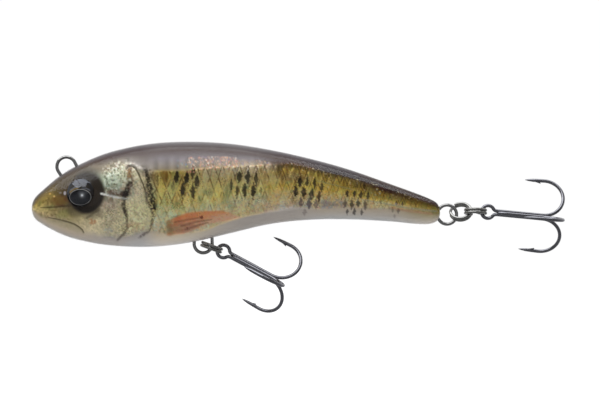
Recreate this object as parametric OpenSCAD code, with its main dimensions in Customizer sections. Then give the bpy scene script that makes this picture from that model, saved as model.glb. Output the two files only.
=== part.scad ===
// Hard-bodied minnow lure with two treble hooks on split rings.
// +X runs from nose to tail, +Z is up, the fish's left flank faces -Y.
// The origin is the centre of the line-tie loop on the head.
// Parts are laid out from the nose tip, then moved to that origin by place().
// Where a module takes a side, -1 is the left (-Y) and 1 is the right (+Y).

/* [Body] */
// Length of the moulded body, nose to tail tip
body_l = 120; // [118:0.5:122]
// Greatest width across the two flanks
body_w = 21.6; // [20.5:0.1:23]
// Wall thickness of the moulded shell
wall = 1.3; // [1.1:0.05:1.4]
// Squareness of the cross-section, 2 is an ellipse
section_n = 2.2; // [2:0.05:2.5]

/* [Foil insert] */
// Thickness of the reflective side plate
foil_t = 0.3; // [0.2:0.05:0.4]
// Gap between the shell wall and the side plate
foil_gap = 0.12; // [0.08:0.02:0.2]

/* [Wire hangers] */
// Diameter of the hanger wire
wire_d = 1.0; // [0.9:0.05:1.05]
// Centre-line radius of the line-tie loop
tie_r = 2.8; // [2.76:0.02:2.9]
// Centre-line radius of the belly hanger loop
belly_r = 2.65; // [2.6:0.02:2.7]
// Centre-line radius of the tail hanger loop
tail_r = 2.8; // [2.76:0.01:2.84]

/* [Split rings] */
// Centre-line radius of a split ring
ring_r = 3.0; // [2.98:0.01:3.02]
// Wire diameter of a split ring
ring_wire_d = 0.86; // [0.8:0.01:0.87]
// Free gap between the two coils
coil_gap = 0.04; // [0.03:0.01:0.05]

/* [Treble hooks] */
// Wire diameter of a treble hook
hook_wire_d = 1.04; // [0.9:0.02:1.04]
// Centre-line radius of the hook eye
hook_eye_r = 1.86; // [1.84:0.01:1.88]
// Centre-line radius of each round bend
bend_r = 5.7; // [5.5:0.05:5.9]
// Distance from the eye's centre to the bend's centre
shank_l = 16.1; // [15:0.1:17]
// Length of the straight point leg
point_l = 5.75; // [5:0.05:6.5]

/* [Eyes] */
// Diameter of the eye dome
eye_d = 8.0; // [7.6:0.1:8.2]
// Height of the clear dome
dome_h = 1.7; // [1.2:0.1:2]

/* [Ballast and rattle] */
// Outside diameter of the belly ballast slugs
ballast_d = 7.0; // [6:0.1:7.2]
// Length of the ballast slugs across the body
ballast_l = 9; // [7:0.5:9.5]
// Outside diameter of the rattle tube
tube_d = 6.4; // [6:0.1:6.6]
// Length of the rattle tube
tube_l = 20; // [16:0.5:22]

/* [Hidden] */

body_colour = [0.56, 0.50, 0.42];
foil_colour = [0.60, 0.53, 0.32];
hanger_colour = [0.30, 0.31, 0.33];
ring_colour = [0.42, 0.43, 0.45];
hook_colour = [0.24, 0.25, 0.27];
slug_colour = [0.45, 0.45, 0.47];
tube_colour = [0.85, 0.87, 0.88];
plug_colour = [0.2, 0.2, 0.22];
ball_colour = [0.75, 0.76, 0.78];
eye_base_colour = [0.80, 0.80, 0.78];
pupil_colour = [0.05, 0.05, 0.05];
lens_colour = [0.85, 0.88, 0.90, 0.4];

wire_r = wire_d / 2;
ring_wire_r = ring_wire_d / 2;
hook_r = hook_wire_d / 2;
clearance = 0.06;

// Body length at which the stations below are given
design_l = 120;
// Columns: x, top edge, bottom edge, half width as a share of the greatest
stations = [
  [0.8, 2.7, -3.05, 0.27], [3.2, 5.15, -5.0, 0.47], [8.5, 9.55, -7.8, 0.69],
  [14.4, 12.9, -9.7, 0.84], [23.2, 16.4, -11.2, 0.96], [34.9, 18.8, -11.6, 1.0],
  [46.6, 19.4, -10.3, 0.98], [58.4, 18.8, -7.6, 0.92], [70.1, 17.0, -4.9, 0.83],
  [81.9, 14.4, -3.65, 0.72], [93.6, 11.15, -3.55, 0.595], [105.3, 7.05, -4.15, 0.455],
  [112.5, 4.45, -4.85, 0.36], [117.0, 2.65, -4.85, 0.285], [119.3, 1.15, -3.75, 0.17]];
nose_z = 0;
tail_z = -1.4;
// Height of the widest line, as a share of the section's height
widest_share = 0.47;

// Hanger loops: centre of each outer loop, and of the post its inner loop goes round
tie_centre = [10.25, 0, 12.05];
belly_centre = [50.4, 0, -10.65];
tail_centre = [121.94, 0, -2.07];
tail_dir = unit([-1, 0, 0.05]);
tie_post = tie_centre + 5.3*[0.5, 0, -0.866];
belly_post = belly_centre + [0, 0, 5.6];
tail_post = tail_centre + 6.7*tail_dir;
inner_loop_r = 2.5;
tail_inner_loop_r = 1.5;

// x and z of the slug posts, front to rear
slug_posts = [[29.0, -4.6], [39.5, -4.4], [60, -1.0]];
rear_slug_d = 5;
rear_slug_l = 9;

tube_x = 77;
tube_z = 5.4;
tube_end_wall = 0.8;
tube_post_x = [tube_x - 7, tube_x + 7];
tube_post_z = 9.9;

// Every post in the shell: x, z, radius, radius of the hole for it in the foil
posts = concat(
  [[tie_post.x, tie_post.z, inner_loop_r - wire_r - clearance, inner_loop_r],
   [belly_post.x, belly_post.z, inner_loop_r - wire_r - clearance, inner_loop_r],
   [tail_post.x, tail_post.z, tail_inner_loop_r - wire_r - clearance, tail_inner_loop_r]],
  [for (p = slug_posts) [p.x, p.y, 1.5, 1.7]],
  [for (x = tube_post_x) [x, tube_post_z, 1.1, 1.3]]);

// Eye place, and levels along the eye axis where each part starts
eye_x = 14.7;
eye_z = 4.4;
eye_boss_level = -3.2;
eye_pocket_level = -1.9;
eye_base_level = -1.88;
pupil_recess_level = -0.98;
pupil_level = -0.97;
lens_level = -0.77;

// Split rings: centre and axis
belly_ring_tilt = 20;
belly_ring = belly_centre + [2.47, 0, -0.99];
belly_ring_axis = [sin(belly_ring_tilt), 0, cos(belly_ring_tilt)];
tail_ring_front = tail_centre + [4.03, 0.11, 0.8];
tail_ring_front_axis = unit([-0.096, -0.720, 0.687]);
tail_ring_rear = tail_centre + [8.34, -0.21, 0.88];
tail_ring_rear_axis = unit([0.017, 0.117, 0.993]);

// Hook poses: eye centre, angle tipped down, angle turned about Z (negative is towards -Y),
// roll about the hook's own axis
belly_hook = [belly_ring + (ring_r + 0.65)*[cos(belly_ring_tilt), 0, -sin(belly_ring_tilt)],
  28, -12, -86];
tail_hook = [tail_centre + [12.0, 0.06, 0.76], 5.4, 0, -87.5];

/* Helpers */
module place() translate(-tie_centre) children();
function unit(v) = v/norm(v);
function reverse(list) = [for (i=[len(list)-1:-1:0]) list[i]];
function repeat(value, count) = [for (i=[1:count]) value];
// Two triangles over four corners, split from the first to the third
function quad(p, q, r, s) = [[p, q, r], [p, r, s]];

/* Body sections */
// Station beyond a tip, mirrored so that the tip is rounded
function mirrored(s) = [s[0], s[2], s[1], -s[3]];
all_stations = concat(
  [mirrored(stations[0]), [0, nose_z, nose_z, 0]],
  stations,
  [[design_l, tail_z, tail_z, 0], mirrored(stations[len(stations)-1])]);
// Spans between stations from tip to tip
spans = len(stations) + 1;
function column_scale(column) = column == 3 ? body_w/2 : body_l/design_l;

// Catmull-Rom curve from b to c
function catmull_rom(a, b, c, d, t) =
  0.5*((2*b) + (c-a)*t + (2*a-5*b+4*c-d)*t*t + (3*b-a-3*c+d)*t*t*t);

// Section [x, top, bottom, half width] at parameter u, from 0 (nose) to spans (tail)
function section(u) =
  let(i = min(floor(u), spans-1), s = all_stations)
  [for (j=[0:3]) catmull_rom(s[i][j], s[i+1][j], s[i+2][j], s[i+3][j], u-i) * column_scale(j)];

// Half size moved inwards by depth, never passing zero; the small term avoids 0/0
function inset_half(half, depth) = half*half / (half + depth + 0.001);

// Section moved inwards by depth
function inset_section(u, depth) = depth == 0 ? section(u) :
  let(
    s = section(u),
    middle = (s[1]+s[2])/2,
    half_h = inset_half((s[1]-s[2])/2, depth))
  [depth + (body_l-2*depth)*s[0]/body_l, middle+half_h, middle-half_h, inset_half(s[3], depth)];

function widest_z(top, bottom) = bottom + widest_share*(top-bottom);

// Point on a section: angle 0 is the top, 180 the bottom
function section_point(s, angle, side) =
  let(
    mid_z = widest_z(s[1], s[2]),
    c = cos(angle),
    reach = c > 0 ? s[1]-mid_z : mid_z-s[2])
  [s[0],
   side*max(0, s[3])*pow(max(0, sin(angle)), 2/section_n),
   mid_z + reach*sign(c)*pow(abs(c), 2/section_n)];

// Value of a station column at x, on straight lines between stations
function column_at(x, column) = lookup(x, [for (i=[1:spans+1])
  [all_stations[i][0]*column_scale(0), all_stations[i][column]*column_scale(column)]]);

// Distance of the outer flank from the joint plane at x, z
function flank(x, z) =
  let(
    top = column_at(x, 1),
    bottom = column_at(x, 2),
    mid_z = widest_z(top, bottom),
    share = z > mid_z ? (z-mid_z)/(top-mid_z) : (mid_z-z)/(mid_z-bottom))
  column_at(x, 3) * pow(max(0, 1-pow(min(1, share), section_n)), 1/section_n);

/* Double-skinned sheets */
// Grid of points at one depth below the outside
function skin(params, angles, depth, side) =
  [for (u=params) for (a=angles) section_point(inset_section(u, depth), a, side)];

// Outer skin, inner skin and the upper and lower edges joining them, left side.
// rows and cols count the gaps; the inner skin's points follow the outer's.
function skin_faces(rows, cols) =
  let(w = cols+1, inner = (rows+1)*w)
  concat(
    [for (i=[0:rows-1]) for (j=[0:cols-1]) let(p = i*w+j) each quad(p, p+w, p+w+1, p+1)],
    [for (i=[0:rows-1]) for (j=[0:cols-1]) let(p = inner+i*w+j) each quad(p, p+1, p+w+1, p+w)],
    [for (i=[0:rows-1]) let(p = i*w) each quad(p, p+inner, p+inner+w, p+w)],
    [for (i=[0:rows-1]) let(p = i*w+cols) each quad(p, p+w, p+inner+w, p+inner)]);

// Left-side faces, turned over for the right side
function faces_for(side, faces) = side > 0 ? [for (f=faces) reverse(f)] : faces;

/* Body shell */
// Closed cup: outer skin, inner skin and the joint rim
module half_shell(side) {
  steps = 52;
  cols = 14;
  params = [for (i=[1:steps-1]) spans*i/steps];
  angles = [for (j=[0:cols]) 180*j/cols];
  inner = len(params)*len(angles);
  last = inner - len(angles);
  // Tip points follow the two skins
  nose = 2*inner;
  tail = nose + 1;
  nose_in = nose + 2;
  tail_in = nose + 3;
  tips = [for (depth=[0, wall]) for (u=[0, spans]) section_point(inset_section(u, depth), 90, 0)];
  fans = [for (j=[0:cols-1]) each [
    [nose, j, j+1],
    [tail, last+j+1, last+j],
    [nose_in, inner+j+1, inner+j],
    [tail_in, inner+last+j, inner+last+j+1]]];
  tip_rims = [
    [nose, nose_in, 0], [nose_in, inner, 0],
    [nose, cols, nose_in], [nose_in, cols, inner+cols],
    [tail, last, tail_in], [tail_in, last, inner+last],
    [tail, tail_in, last+cols], [tail_in, inner+last+cols, last+cols]];
  polyhedron(
    points=concat(skin(params, angles, 0, side), skin(params, angles, wall, side), tips),
    faces=faces_for(side, concat(skin_faces(steps-2, cols), fans, tip_rims)),
    convexity=6);
}

// Round post on the inside of one half, ending on the joint plane
module post(x, z, r, side) {
  y = flank(x, z) - wall*0.55;
  translate([x, side*y/2, z]) rotate([90, 0, 0]) cylinder(r=r, h=y, center=true, $fn=32);
}

// Eye axis: outwards from the flank, leaning forward and slightly up
module at_eye(side)
  translate([eye_x, side*(flank(eye_x, eye_z) + 0.1), eye_z])
    rotate([0, 0, side*12]) rotate([-side*86, 0, 0]) children();

// Two straight bores along the outer tangents of a hanger's two loops
module tangent_bores(outer, inner, outer_r, inner_r) {
  axis = unit(outer-inner);
  tangent = 90 + loop_lean(outer, inner, outer_r, inner_r);
  for (s=[-1, 1]) {
    start = loop_point(outer, outer_r, axis, s*tangent);
    run = loop_point(inner, inner_r, axis, s*tangent) - start;
    translate(start) rotate([0, atan2(run.x, run.z), 0])
      cylinder(r=wire_r+0.05, h=norm(run), $fn=24);
  }
}

// Passages for the hanger wires where they cross the shell wall
module wire_passages() {
  tangent_bores(tie_centre, tie_post, tie_r, inner_loop_r);
  tangent_bores(belly_centre, belly_post, belly_r, inner_loop_r);
  // One slot for both wires of the tail loop
  translate(tail_centre + 3.3*tail_dir) rotate([0, atan2(tail_dir.z, -tail_dir.x), 0])
    cube([4.6, wire_d + 2*clearance, 2*tail_r], center=true);
}

module shell(side) place() difference() {
  union() {
    half_shell(side);
    for (p=posts) post(p[0], p[1], p[2], side);
    at_eye(side) translate([0, 0, eye_boss_level]) cylinder(d=eye_d+1.6, h=2.4, $fn=48);
  }
  at_eye(side) translate([0, 0, eye_pocket_level]) cylinder(d=eye_d+0.1, h=6, $fn=48);
  wire_passages();
}
module body_shell_left() color(body_colour) shell(-1);
module body_shell_right() color(body_colour) shell(1);

/* Foil insert */
// Side plate following the inside of the shell
module foil_sheet(side) {
  rows = 30;
  cols = 8;
  first = 2.2;
  last = spans - 1.6;
  depth = wall + foil_gap;
  params = [for (i=[0:rows]) first + (last-first)*i/rows];
  angles = [for (j=[0:cols]) 50 + 105*j/cols];
  inner = len(params)*len(angles);
  end = rows*(cols+1);
  end_edges = [for (j=[0:cols-1]) each concat(
    quad(j, j+1, inner+j+1, inner+j),
    quad(end+j, inner+end+j, inner+end+j+1, end+j+1))];
  polyhedron(
    points=concat(skin(params, angles, depth, side), skin(params, angles, depth+foil_t, side)),
    faces=faces_for(side, concat(skin_faces(rows, cols), end_edges)),
    convexity=6);
}
module foil(side) place() difference() {
  foil_sheet(side);
  for (p=posts)
    translate([p[0], 0, p[1]]) rotate([90, 0, 0]) cylinder(r=p[3], h=40, center=true, $fn=24);
  at_eye(side) translate([0, 0, -12]) cylinder(d=eye_d+2.2, h=20, $fn=32);
}
module foil_insert_left() color(foil_colour) foil(-1);
module foil_insert_right() color(foil_colour) foil(1);

/* Swept wire */
// Tube swept along a path, with a section radius for each point
module sweep(path, radii) {
  sides = 8;
  n = len(path);
  tangents = [for (i=[0:n-1]) unit(path[min(i+1, n-1)] - path[max(i-1, 0)])];
  function across(t) = unit(cross(t, abs(t.y) < 0.9 ? [0, 1, 0] : [1, 0, 0]));
  // Normal carried along the path without twist
  normals = [for (i=0, f=across(tangents[0]); i < n;
    i=i+1, f = i < n ? unit(f - (f*tangents[i])*tangents[i]) : f) f];
  points = [for (i=[0:n-1]) for (j=[0:sides-1])
    let(a = 360*(j+0.5)/sides)
    path[i] + radii[i]*(cos(a)*normals[i] + sin(a)*cross(tangents[i], normals[i]))];
  start_cap = [for (j=[0:sides-1]) j];
  end_cap = [for (j=[sides-1:-1:0]) (n-1)*sides + j];
  walls = [for (i=[0:n-2]) for (j=[0:sides-1])
    let(p = i*sides, q = (j+1)%sides)
    each quad(p+j, p+sides+j, p+sides+q, p+q)];
  polyhedron(points=points, faces=concat([start_cap, end_cap], walls), convexity=8);
}
module wire(path, r) place() sweep(path, repeat(r, len(path)));

/* Wire hangers */
// Point on a loop in the XZ plane, at an angle from the hanger's axis
function loop_point(centre, r, axis, angle) =
  centre + r*(cos(angle)*axis + sin(angle)*[axis.z, 0, -axis.x]);
// Angle between the axis and the straight wires
function loop_lean(outer, inner, outer_r, inner_r) = asin((outer_r-inner_r)/norm(outer-inner));

// Outer loop and smaller inner loop round a post, the ends meeting inside the body
function belt(outer, inner, outer_r, inner_r) =
  let(
    axis = unit(outer-inner),
    lean = loop_lean(outer, inner, outer_r, inner_r),
    inner_arc = [for (i=[0:8]) 90+lean + (86-lean)*i/8],
    outer_arc = [for (i=[0:20]) -90-lean + (180+2*lean)*i/20])
  concat(
    [for (a=reverse(inner_arc)) loop_point(inner, inner_r, axis, -a)],
    [for (a=outer_arc) loop_point(outer, outer_r, axis, a)],
    [for (a=inner_arc) loop_point(inner, inner_r, axis, a)]);

// The same with a waist between the loops, where the wires nearly touch
function waisted(outer, inner, outer_r, inner_r) =
  let(
    axis = unit(outer-inner),
    normal = [axis.z, 0, -axis.x],
    // One half from the outer loop's far end: [along the axis, across it]
    half = concat(
      [for (i=[0:12]) let(a = 140*i/12) outer_r*[cos(a), sin(a)]],
      [[-outer_r-0.12, 0.9], [-outer_r-0.62, 0.64], [-outer_r-1.15, 0.62]],
      [for (i=[0:8]) let(a = 42 + 134*i/8)
        [inner_r*cos(a) - norm(outer-inner), inner_r*sin(a)]]))
  concat(
    [for (i=[len(half)-1:-1:1]) outer + half[i].x*axis - half[i].y*normal],
    [for (q=half) outer + q.x*axis + q.y*normal]);

module nose_line_tie() color(hanger_colour)
  wire(belt(tie_centre, tie_post, tie_r, inner_loop_r), wire_r);
module belly_hanger() color(hanger_colour)
  wire(belt(belly_centre, belly_post, belly_r, inner_loop_r), wire_r);
module tail_hanger() color(hanger_colour)
  wire(waisted(tail_centre, tail_post, tail_r, tail_inner_loop_r), wire_r);

/* Split rings */
// Two close coils about an axis, with a short step from one to the other.
// The wire starts near the direction square to axis and reference.
function coil(centre, axis, reference) =
  let(
    steps = 52,
    turns = 1.82,
    half_pitch = (ring_wire_d + coil_gap)/2,
    a0 = unit(cross(axis, reference)),
    b0 = cross(axis, a0))
  [for (i=[0:steps])
    let(
      turn = 0.04 + turns*i/steps,
      shift = half_pitch*min(1, max(-1, (turn - 0.95)/0.085)),
      a = 360*turn)
    centre + ring_r*(cos(a)*a0 + sin(a)*b0) + shift*axis];

module split_ring(centre, axis, reference) color(ring_colour)
  wire(coil(centre, axis, reference), ring_wire_r);
module belly_split_ring() split_ring(belly_ring, belly_ring_axis, [1, 0, 0]);
module tail_split_ring_front() split_ring(tail_ring_front, tail_ring_front_axis, [0, 0, 1]);
module tail_split_ring_rear() split_ring(tail_ring_rear, tail_ring_rear_axis, [1, 0, 0]);

/* Treble hooks: local +X runs from the eye to the bends, the eye lies near the local XY plane */
// Distance of each shank from the hook's axis
shank_offset = hook_r*1.165;
// Angle each bend turns beyond a half circle
extra_bend = 2;
// Shares of the point leg where the wire is drawn, and radii along one whole hook
point_shares = [0.3, 0.6, 0.85, 1.0];
hook_radii = concat(repeat(hook_r, 16), [hook_r*0.9, hook_r*0.55, 0.06]);

// Shank, bend and point leg of one hook, turned about X by roll
function hook_leg(start_x, roll) =
  let(side_view = concat(
    [[start_x, shank_offset], [start_x + (shank_l-start_x)*0.55, shank_offset]],
    [for (i=[0:12])
      let(a = -90 + (180+extra_bend)*i/12)
      [shank_l + bend_r*cos(a), shank_offset + bend_r + bend_r*sin(a)]],
    [for (share=point_shares)
      [shank_l - bend_r*sin(extra_bend) - point_l*share,
       shank_offset + bend_r + bend_r*cos(extra_bend) - point_l*share*sin(extra_bend)]]))
  [for (q=side_view) [q.x, q.y*sin(roll), q.y*cos(roll)]];

// Eye of the double hook, rising to meet the shanks at both ends
function eye_path(roll) =
  [for (i=[0:20])
    let(a = 32 + 296*i/20)
    [hook_eye_r*cos(a), hook_eye_r*sin(a), shank_offset*cos(roll)*pow(cos(180*i/20), 2)]];

// Small wedge raised from the inner side of the point leg
module barb(roll) rotate([-roll, 0, 0]) {
  x = shank_l - 1.25;
  z = shank_offset + 2*bend_r - hook_r;
  polyhedron(
    points=[
      [x-2.6, 0.05, z+0.2], [x-2.6, -0.05, z+0.2],
      [x, 0.15, z-0.45], [x, -0.15, z-0.45],
      [x-0.35, 0.26, z+0.25], [x-0.35, -0.26, z+0.25]],
    faces=[
      [3, 2, 0], [1, 3, 0], [5, 4, 2], [3, 5, 2],
      [5, 1, 0], [4, 5, 0], [2, 4, 0], [5, 3, 1]]);
}

module at_hook(pose) place()
  translate(pose[0]) rotate([0, pose[1], 0]) rotate([0, 0, pose[2]]) rotate([pose[3], 0, 0])
    children();

// Two of the three hooks are one wire that also forms the eye
module double_hook(pose) color(hook_colour) at_hook(pose) {
  roll = 60;
  eye = eye_path(roll);
  sweep(
    concat(reverse(hook_leg(3.6, roll)), eye, hook_leg(3.6, -roll)),
    concat(reverse(hook_radii), repeat(hook_r, len(eye)), hook_radii));
  barb(roll);
  barb(-roll);
}
module third_hook(pose) color(hook_colour) at_hook(pose) {
  sweep(hook_leg(2.9, 180), hook_radii);
  barb(180);
}
module belly_treble_double() double_hook(belly_hook);
module belly_treble_third() third_hook(belly_hook);
module tail_treble_double() double_hook(tail_hook);
module tail_treble_third() third_hook(tail_hook);

/* Eyes: a base disc with a dark pupil disc let into it, under a clear dome */
module eye_base(side) color(eye_base_colour) place() at_eye(side) difference() {
  translate([0, 0, eye_base_level]) cylinder(d=eye_d, h=1.1, $fn=64);
  translate([0, 0, pupil_recess_level]) cylinder(d=5.4, h=1, $fn=48);
}
module eye_pupil(side) color(pupil_colour) place() at_eye(side)
  translate([0, 0, pupil_level]) cylinder(d=5.3, h=0.18, $fn=48);
// Spherical cap on a short straight edge
module eye_lens(side) color(lens_colour) place() at_eye(side) translate([0, 0, lens_level]) {
  edge_h = 0.5;
  lens_r = eye_d/2;
  dome_r = (lens_r*lens_r + dome_h*dome_h)/(2*dome_h);
  intersection() {
    translate([0, 0, edge_h - (dome_r-dome_h)]) sphere(r=dome_r, $fn=96);
    cylinder(r=lens_r, h=dome_h+2, $fn=64);
  }
}
module eye_base_left() eye_base(-1);
module eye_base_right() eye_base(1);
module eye_pupil_left() eye_pupil(-1);
module eye_pupil_right() eye_pupil(1);
module eye_lens_left() eye_lens(-1);
module eye_lens_right() eye_lens(1);

/* Ballast slugs threaded on posts */
module slug(at, d, l) color(slug_colour) place()
  translate([at.x, 0, at.y]) rotate([90, 0, 0]) difference() {
    cylinder(d=d, h=l, center=true, $fn=48);
    cylinder(r=1.56, h=l+1, center=true, $fn=32);
  }
module ballast_front() slug(slug_posts[0], ballast_d, ballast_l);
module ballast_mid() slug(slug_posts[1], ballast_d, ballast_l);
module ballast_rear() slug(slug_posts[2], rear_slug_d, rear_slug_l);

/* Rattle: a tube hung from two posts, its end plug and a loose ball */
// Moves to the tube's axis at x, with local Z pointing to the tail
module on_tube_axis(x) place() translate([x, 0, tube_z]) rotate([0, 90, 0]) children();

module rattle_tube() color(tube_colour) difference() {
  lug_r = 2;
  lug_t = 1.8;
  union() {
    on_tube_axis(tube_x - tube_l/2) cylinder(d=tube_d, h=tube_l, $fn=48);
    place() for (x=tube_post_x) {
      translate([x-lug_r, -lug_t/2, tube_z+2])
        cube([2*lug_r, lug_t, tube_post_z-tube_z-0.6]);
      translate([x, lug_t/2, tube_post_z]) rotate([90, 0, 0]) cylinder(r=lug_r, h=lug_t, $fn=32);
    }
  }
  on_tube_axis(tube_x - tube_l/2 + tube_end_wall) cylinder(d=tube_d-1.4, h=tube_l, $fn=48);
  place() for (x=tube_post_x)
    translate([x, 3, tube_post_z]) rotate([90, 0, 0]) cylinder(r=1.16, h=6, $fn=32);
}
// Stopper in the bore, end cap, and the neck joining them
module rattle_plug() color(plug_colour) on_tube_axis(tube_x + tube_l/2 - 1.5) {
  cylinder(d=tube_d-1.46, h=1.5, $fn=48);
  translate([0, 0, 1.52]) cylinder(d=tube_d, h=0.5, $fn=48);
  translate([0, 0, 1.4]) cylinder(d=2, h=0.3, $fn=24);
}
module rattle_ball() color(ball_colour) place() {
  ball_d = tube_d - 1.6;
  translate([tube_x - tube_l/2 + tube_end_wall + ball_d/2 + 0.1, 0, tube_z])
    sphere(d=ball_d, $fn=64);
}

body_shell_left();
body_shell_right();
foil_insert_left();
foil_insert_right();
nose_line_tie();
belly_hanger();
tail_hanger();
ballast_front();
ballast_mid();
ballast_rear();
rattle_tube();
rattle_plug();
rattle_ball();
eye_base_left();
eye_base_right();
eye_pupil_left();
eye_pupil_right();
eye_lens_left();
eye_lens_right();
belly_split_ring();
tail_split_ring_front();
tail_split_ring_rear();
belly_treble_double();
belly_treble_third();
tail_treble_double();
tail_treble_third();
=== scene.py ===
# A fishing lure 120 mm long: a printed foil liner under a clear skin, domed eyes, wire hangers,
# split rings and two treble hooks. It lies along X with its nose towards -X, its back towards +Z
# and its left flank towards -Y. Shapes are drawn in millimetres from the nose tip, with y = 0 on
# the middle plane; add_mesh turns them into metres with the line tie at the origin.
import math
import bpy
import numpy as np
from mathutils import Matrix, Vector


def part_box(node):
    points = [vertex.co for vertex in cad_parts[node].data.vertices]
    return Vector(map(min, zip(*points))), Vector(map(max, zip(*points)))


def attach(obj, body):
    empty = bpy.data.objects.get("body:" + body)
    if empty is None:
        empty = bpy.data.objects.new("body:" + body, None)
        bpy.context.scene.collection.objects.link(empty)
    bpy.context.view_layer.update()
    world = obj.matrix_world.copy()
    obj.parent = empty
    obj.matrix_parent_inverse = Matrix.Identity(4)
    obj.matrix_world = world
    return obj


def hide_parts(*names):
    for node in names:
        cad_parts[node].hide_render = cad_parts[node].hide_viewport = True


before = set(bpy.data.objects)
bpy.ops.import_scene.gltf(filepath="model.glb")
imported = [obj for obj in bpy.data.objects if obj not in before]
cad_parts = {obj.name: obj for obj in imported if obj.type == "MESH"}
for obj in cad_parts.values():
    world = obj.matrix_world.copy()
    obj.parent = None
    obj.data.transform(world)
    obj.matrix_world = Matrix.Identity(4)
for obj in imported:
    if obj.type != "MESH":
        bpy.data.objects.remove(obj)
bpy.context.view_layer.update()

scene = bpy.context.scene
SIDES = ((-1, "left"), (1, "right"))     # sign of y, and name


# ------------------------------------------------------------------ curves and fades
def ramp(low, high, value):
    """0 below low, 1 above high, smooth between."""
    t = np.clip((value - low) / (high - low), 0, 1)
    return t * t * (3 - 2 * t)


def window(value, rise_from, rise_to, fall_from, fall_to):
    return ramp(rise_from, rise_to, value) * (1 - ramp(fall_from, fall_to, value))


def catmull_rom(a, b, c, d, t):
    """Curve from b (t = 0) to c (t = 1), with a and d as the outer neighbours."""
    return 0.5 * (2 * b + (c - a) * t + (2 * a - 5 * b + 4 * c - d) * t ** 2
                  + (3 * b - a - 3 * c + d) * t ** 3)


def hermite(start, start_slope, end, end_slope, t):
    return ((2 * t ** 3 - 3 * t ** 2 + 1) * start + (t ** 3 - 2 * t ** 2 + t) * start_slope
            + (-2 * t ** 3 + 3 * t ** 2) * end + (t ** 3 - t ** 2) * end_slope)


def smooth_interp(x, table):
    """Smooth curve through the rows (x, y) of a table."""
    xs, ys = table.T
    i = np.clip(np.searchsorted(xs, x) - 1, 0, len(xs) - 2)
    length = xs[i + 1] - xs[i]
    t = np.clip((x - xs[i]) / length, 0, 1)
    slope = np.gradient(ys, xs)
    return hermite(ys[i], length * slope[i], ys[i + 1], length * slope[i + 1], t)


def unit(vector):
    return np.asarray(vector, float) / np.linalg.norm(vector)


def turn(degrees, axis):
    return Matrix.Rotation(math.radians(degrees), 3, axis)


# ------------------------------------------------------------------ body surface
BODY_LENGTH = 120.0
BODY_WIDTH = 21.6
ROUNDNESS = 2.2        # exponent of the cross-section's superellipse
WIDEST_SHARE = 0.47    # height of the widest place, as a share of the section's height
TAIL_TIP_Z = -1.4

# stations along the body: x, top, bottom, width as a share of BODY_WIDTH
STATIONS = [
    [0.8, 2.7, -3.05, 0.27], [3.2, 5.15, -5.0, 0.47], [8.5, 9.55, -7.8, 0.69],
    [14.4, 12.9, -9.7, 0.84], [23.2, 16.4, -11.2, 0.96], [34.9, 18.8, -11.6, 1.0],
    [46.6, 19.4, -10.3, 0.98], [58.4, 18.8, -7.6, 0.92], [70.1, 17.0, -4.9, 0.83],
    [81.9, 14.4, -3.65, 0.72], [93.6, 11.15, -3.55, 0.595], [105.3, 7.05, -4.15, 0.455],
    [112.5, 4.45, -4.85, 0.36], [117.0, 2.65, -4.85, 0.285], [119.3, 1.15, -3.75, 0.17]]
LAST_STATION = len(STATIONS) + 1       # the tail tip; station 0 is the nose tip


def mirrored(station):
    """The station beyond a tip, so that the surface closes round it."""
    x, top, bottom, width = station
    return [x, bottom, top, -width]


KNOTS = np.array([mirrored(STATIONS[0]), [0, 0, 0, 0]] + STATIONS
                 + [[BODY_LENGTH, TAIL_TIP_Z, TAIL_TIP_Z, 0], mirrored(STATIONS[-1])], float)


def section(station):
    """x, top, bottom and half width at station numbers, which may be fractions."""
    station = np.asarray(station, float)
    i = np.minimum(np.floor(station).astype(int), LAST_STATION - 1)
    t = (station - i)[..., None]
    result = catmull_rom(KNOTS[i], KNOTS[i + 1], KNOTS[i + 2], KNOTS[i + 3], t)
    result[..., 3] *= BODY_WIDTH / 2
    return result


def skin_point(station, girth, inset=0.0):
    """x, half width and z on the body at a girth angle (0 top, 180 bottom), moved in by inset."""
    x, top, bottom, half_width = np.moveaxis(section(station), -1, 0)
    half_width = np.maximum(half_width, 0)
    if inset:
        def shrink(half):
            return half * half / (half + inset + 1e-6)

        middle = (top + bottom) / 2
        half_height = shrink(np.maximum((top - bottom) / 2, 0))
        half_width = shrink(half_width)
        top, bottom = middle + half_height, middle - half_height
        x = inset + (BODY_LENGTH - 2 * inset) * x / BODY_LENGTH
    widest = bottom + WIDEST_SHARE * (top - bottom)
    up = np.cos(np.radians(girth))
    out = np.maximum(np.sin(np.radians(girth)), 0)
    reach = np.where(up > 0, top - widest, widest - bottom)
    z = widest + reach * np.sign(up) * np.abs(up) ** (2 / ROUNDNESS)
    return x, half_width * out ** (2 / ROUNDNESS), z


# outline of the side view, and the arc length that spaces the mesh rows
fine_stations = np.linspace(0, LAST_STATION, 6000)
fine = section(fine_stations)
forward = np.maximum.accumulate(fine[:, 0]) <= fine[:, 0] + 1e-9
OUTLINE_X, OUTLINE_TOP, OUTLINE_BOTTOM = fine[forward, :3].T
arc_steps = np.hypot(np.diff(fine[:, 0]), np.diff((fine[:, 1] - fine[:, 2]) / 2))
arc_length = np.concatenate([[0], np.cumsum(arc_steps)])


def flank_grid(rows, columns, end_gap):
    """Stations and girth angles of one flank's mesh, its end rows end_gap from the tips."""
    even = np.linspace(0, arc_length[-1], rows + 2)
    station = np.interp(even, arc_length, fine_stations)[1:-1]
    station[0], station[-1] = end_gap, LAST_STATION - end_gap
    return np.meshgrid(station, np.linspace(0, 180, columns), indexing="ij")


HANGER_WIRE = 1.0
shell_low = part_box("body_shell_left")[0]
TIE = np.array([-shell_low.x * 1000, 0.0, OUTLINE_BOTTOM.min() - shell_low.z * 1000])
TIE_LOOP_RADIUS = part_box("nose_line_tie")[1].z * 1000 - HANGER_WIRE / 2


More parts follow.
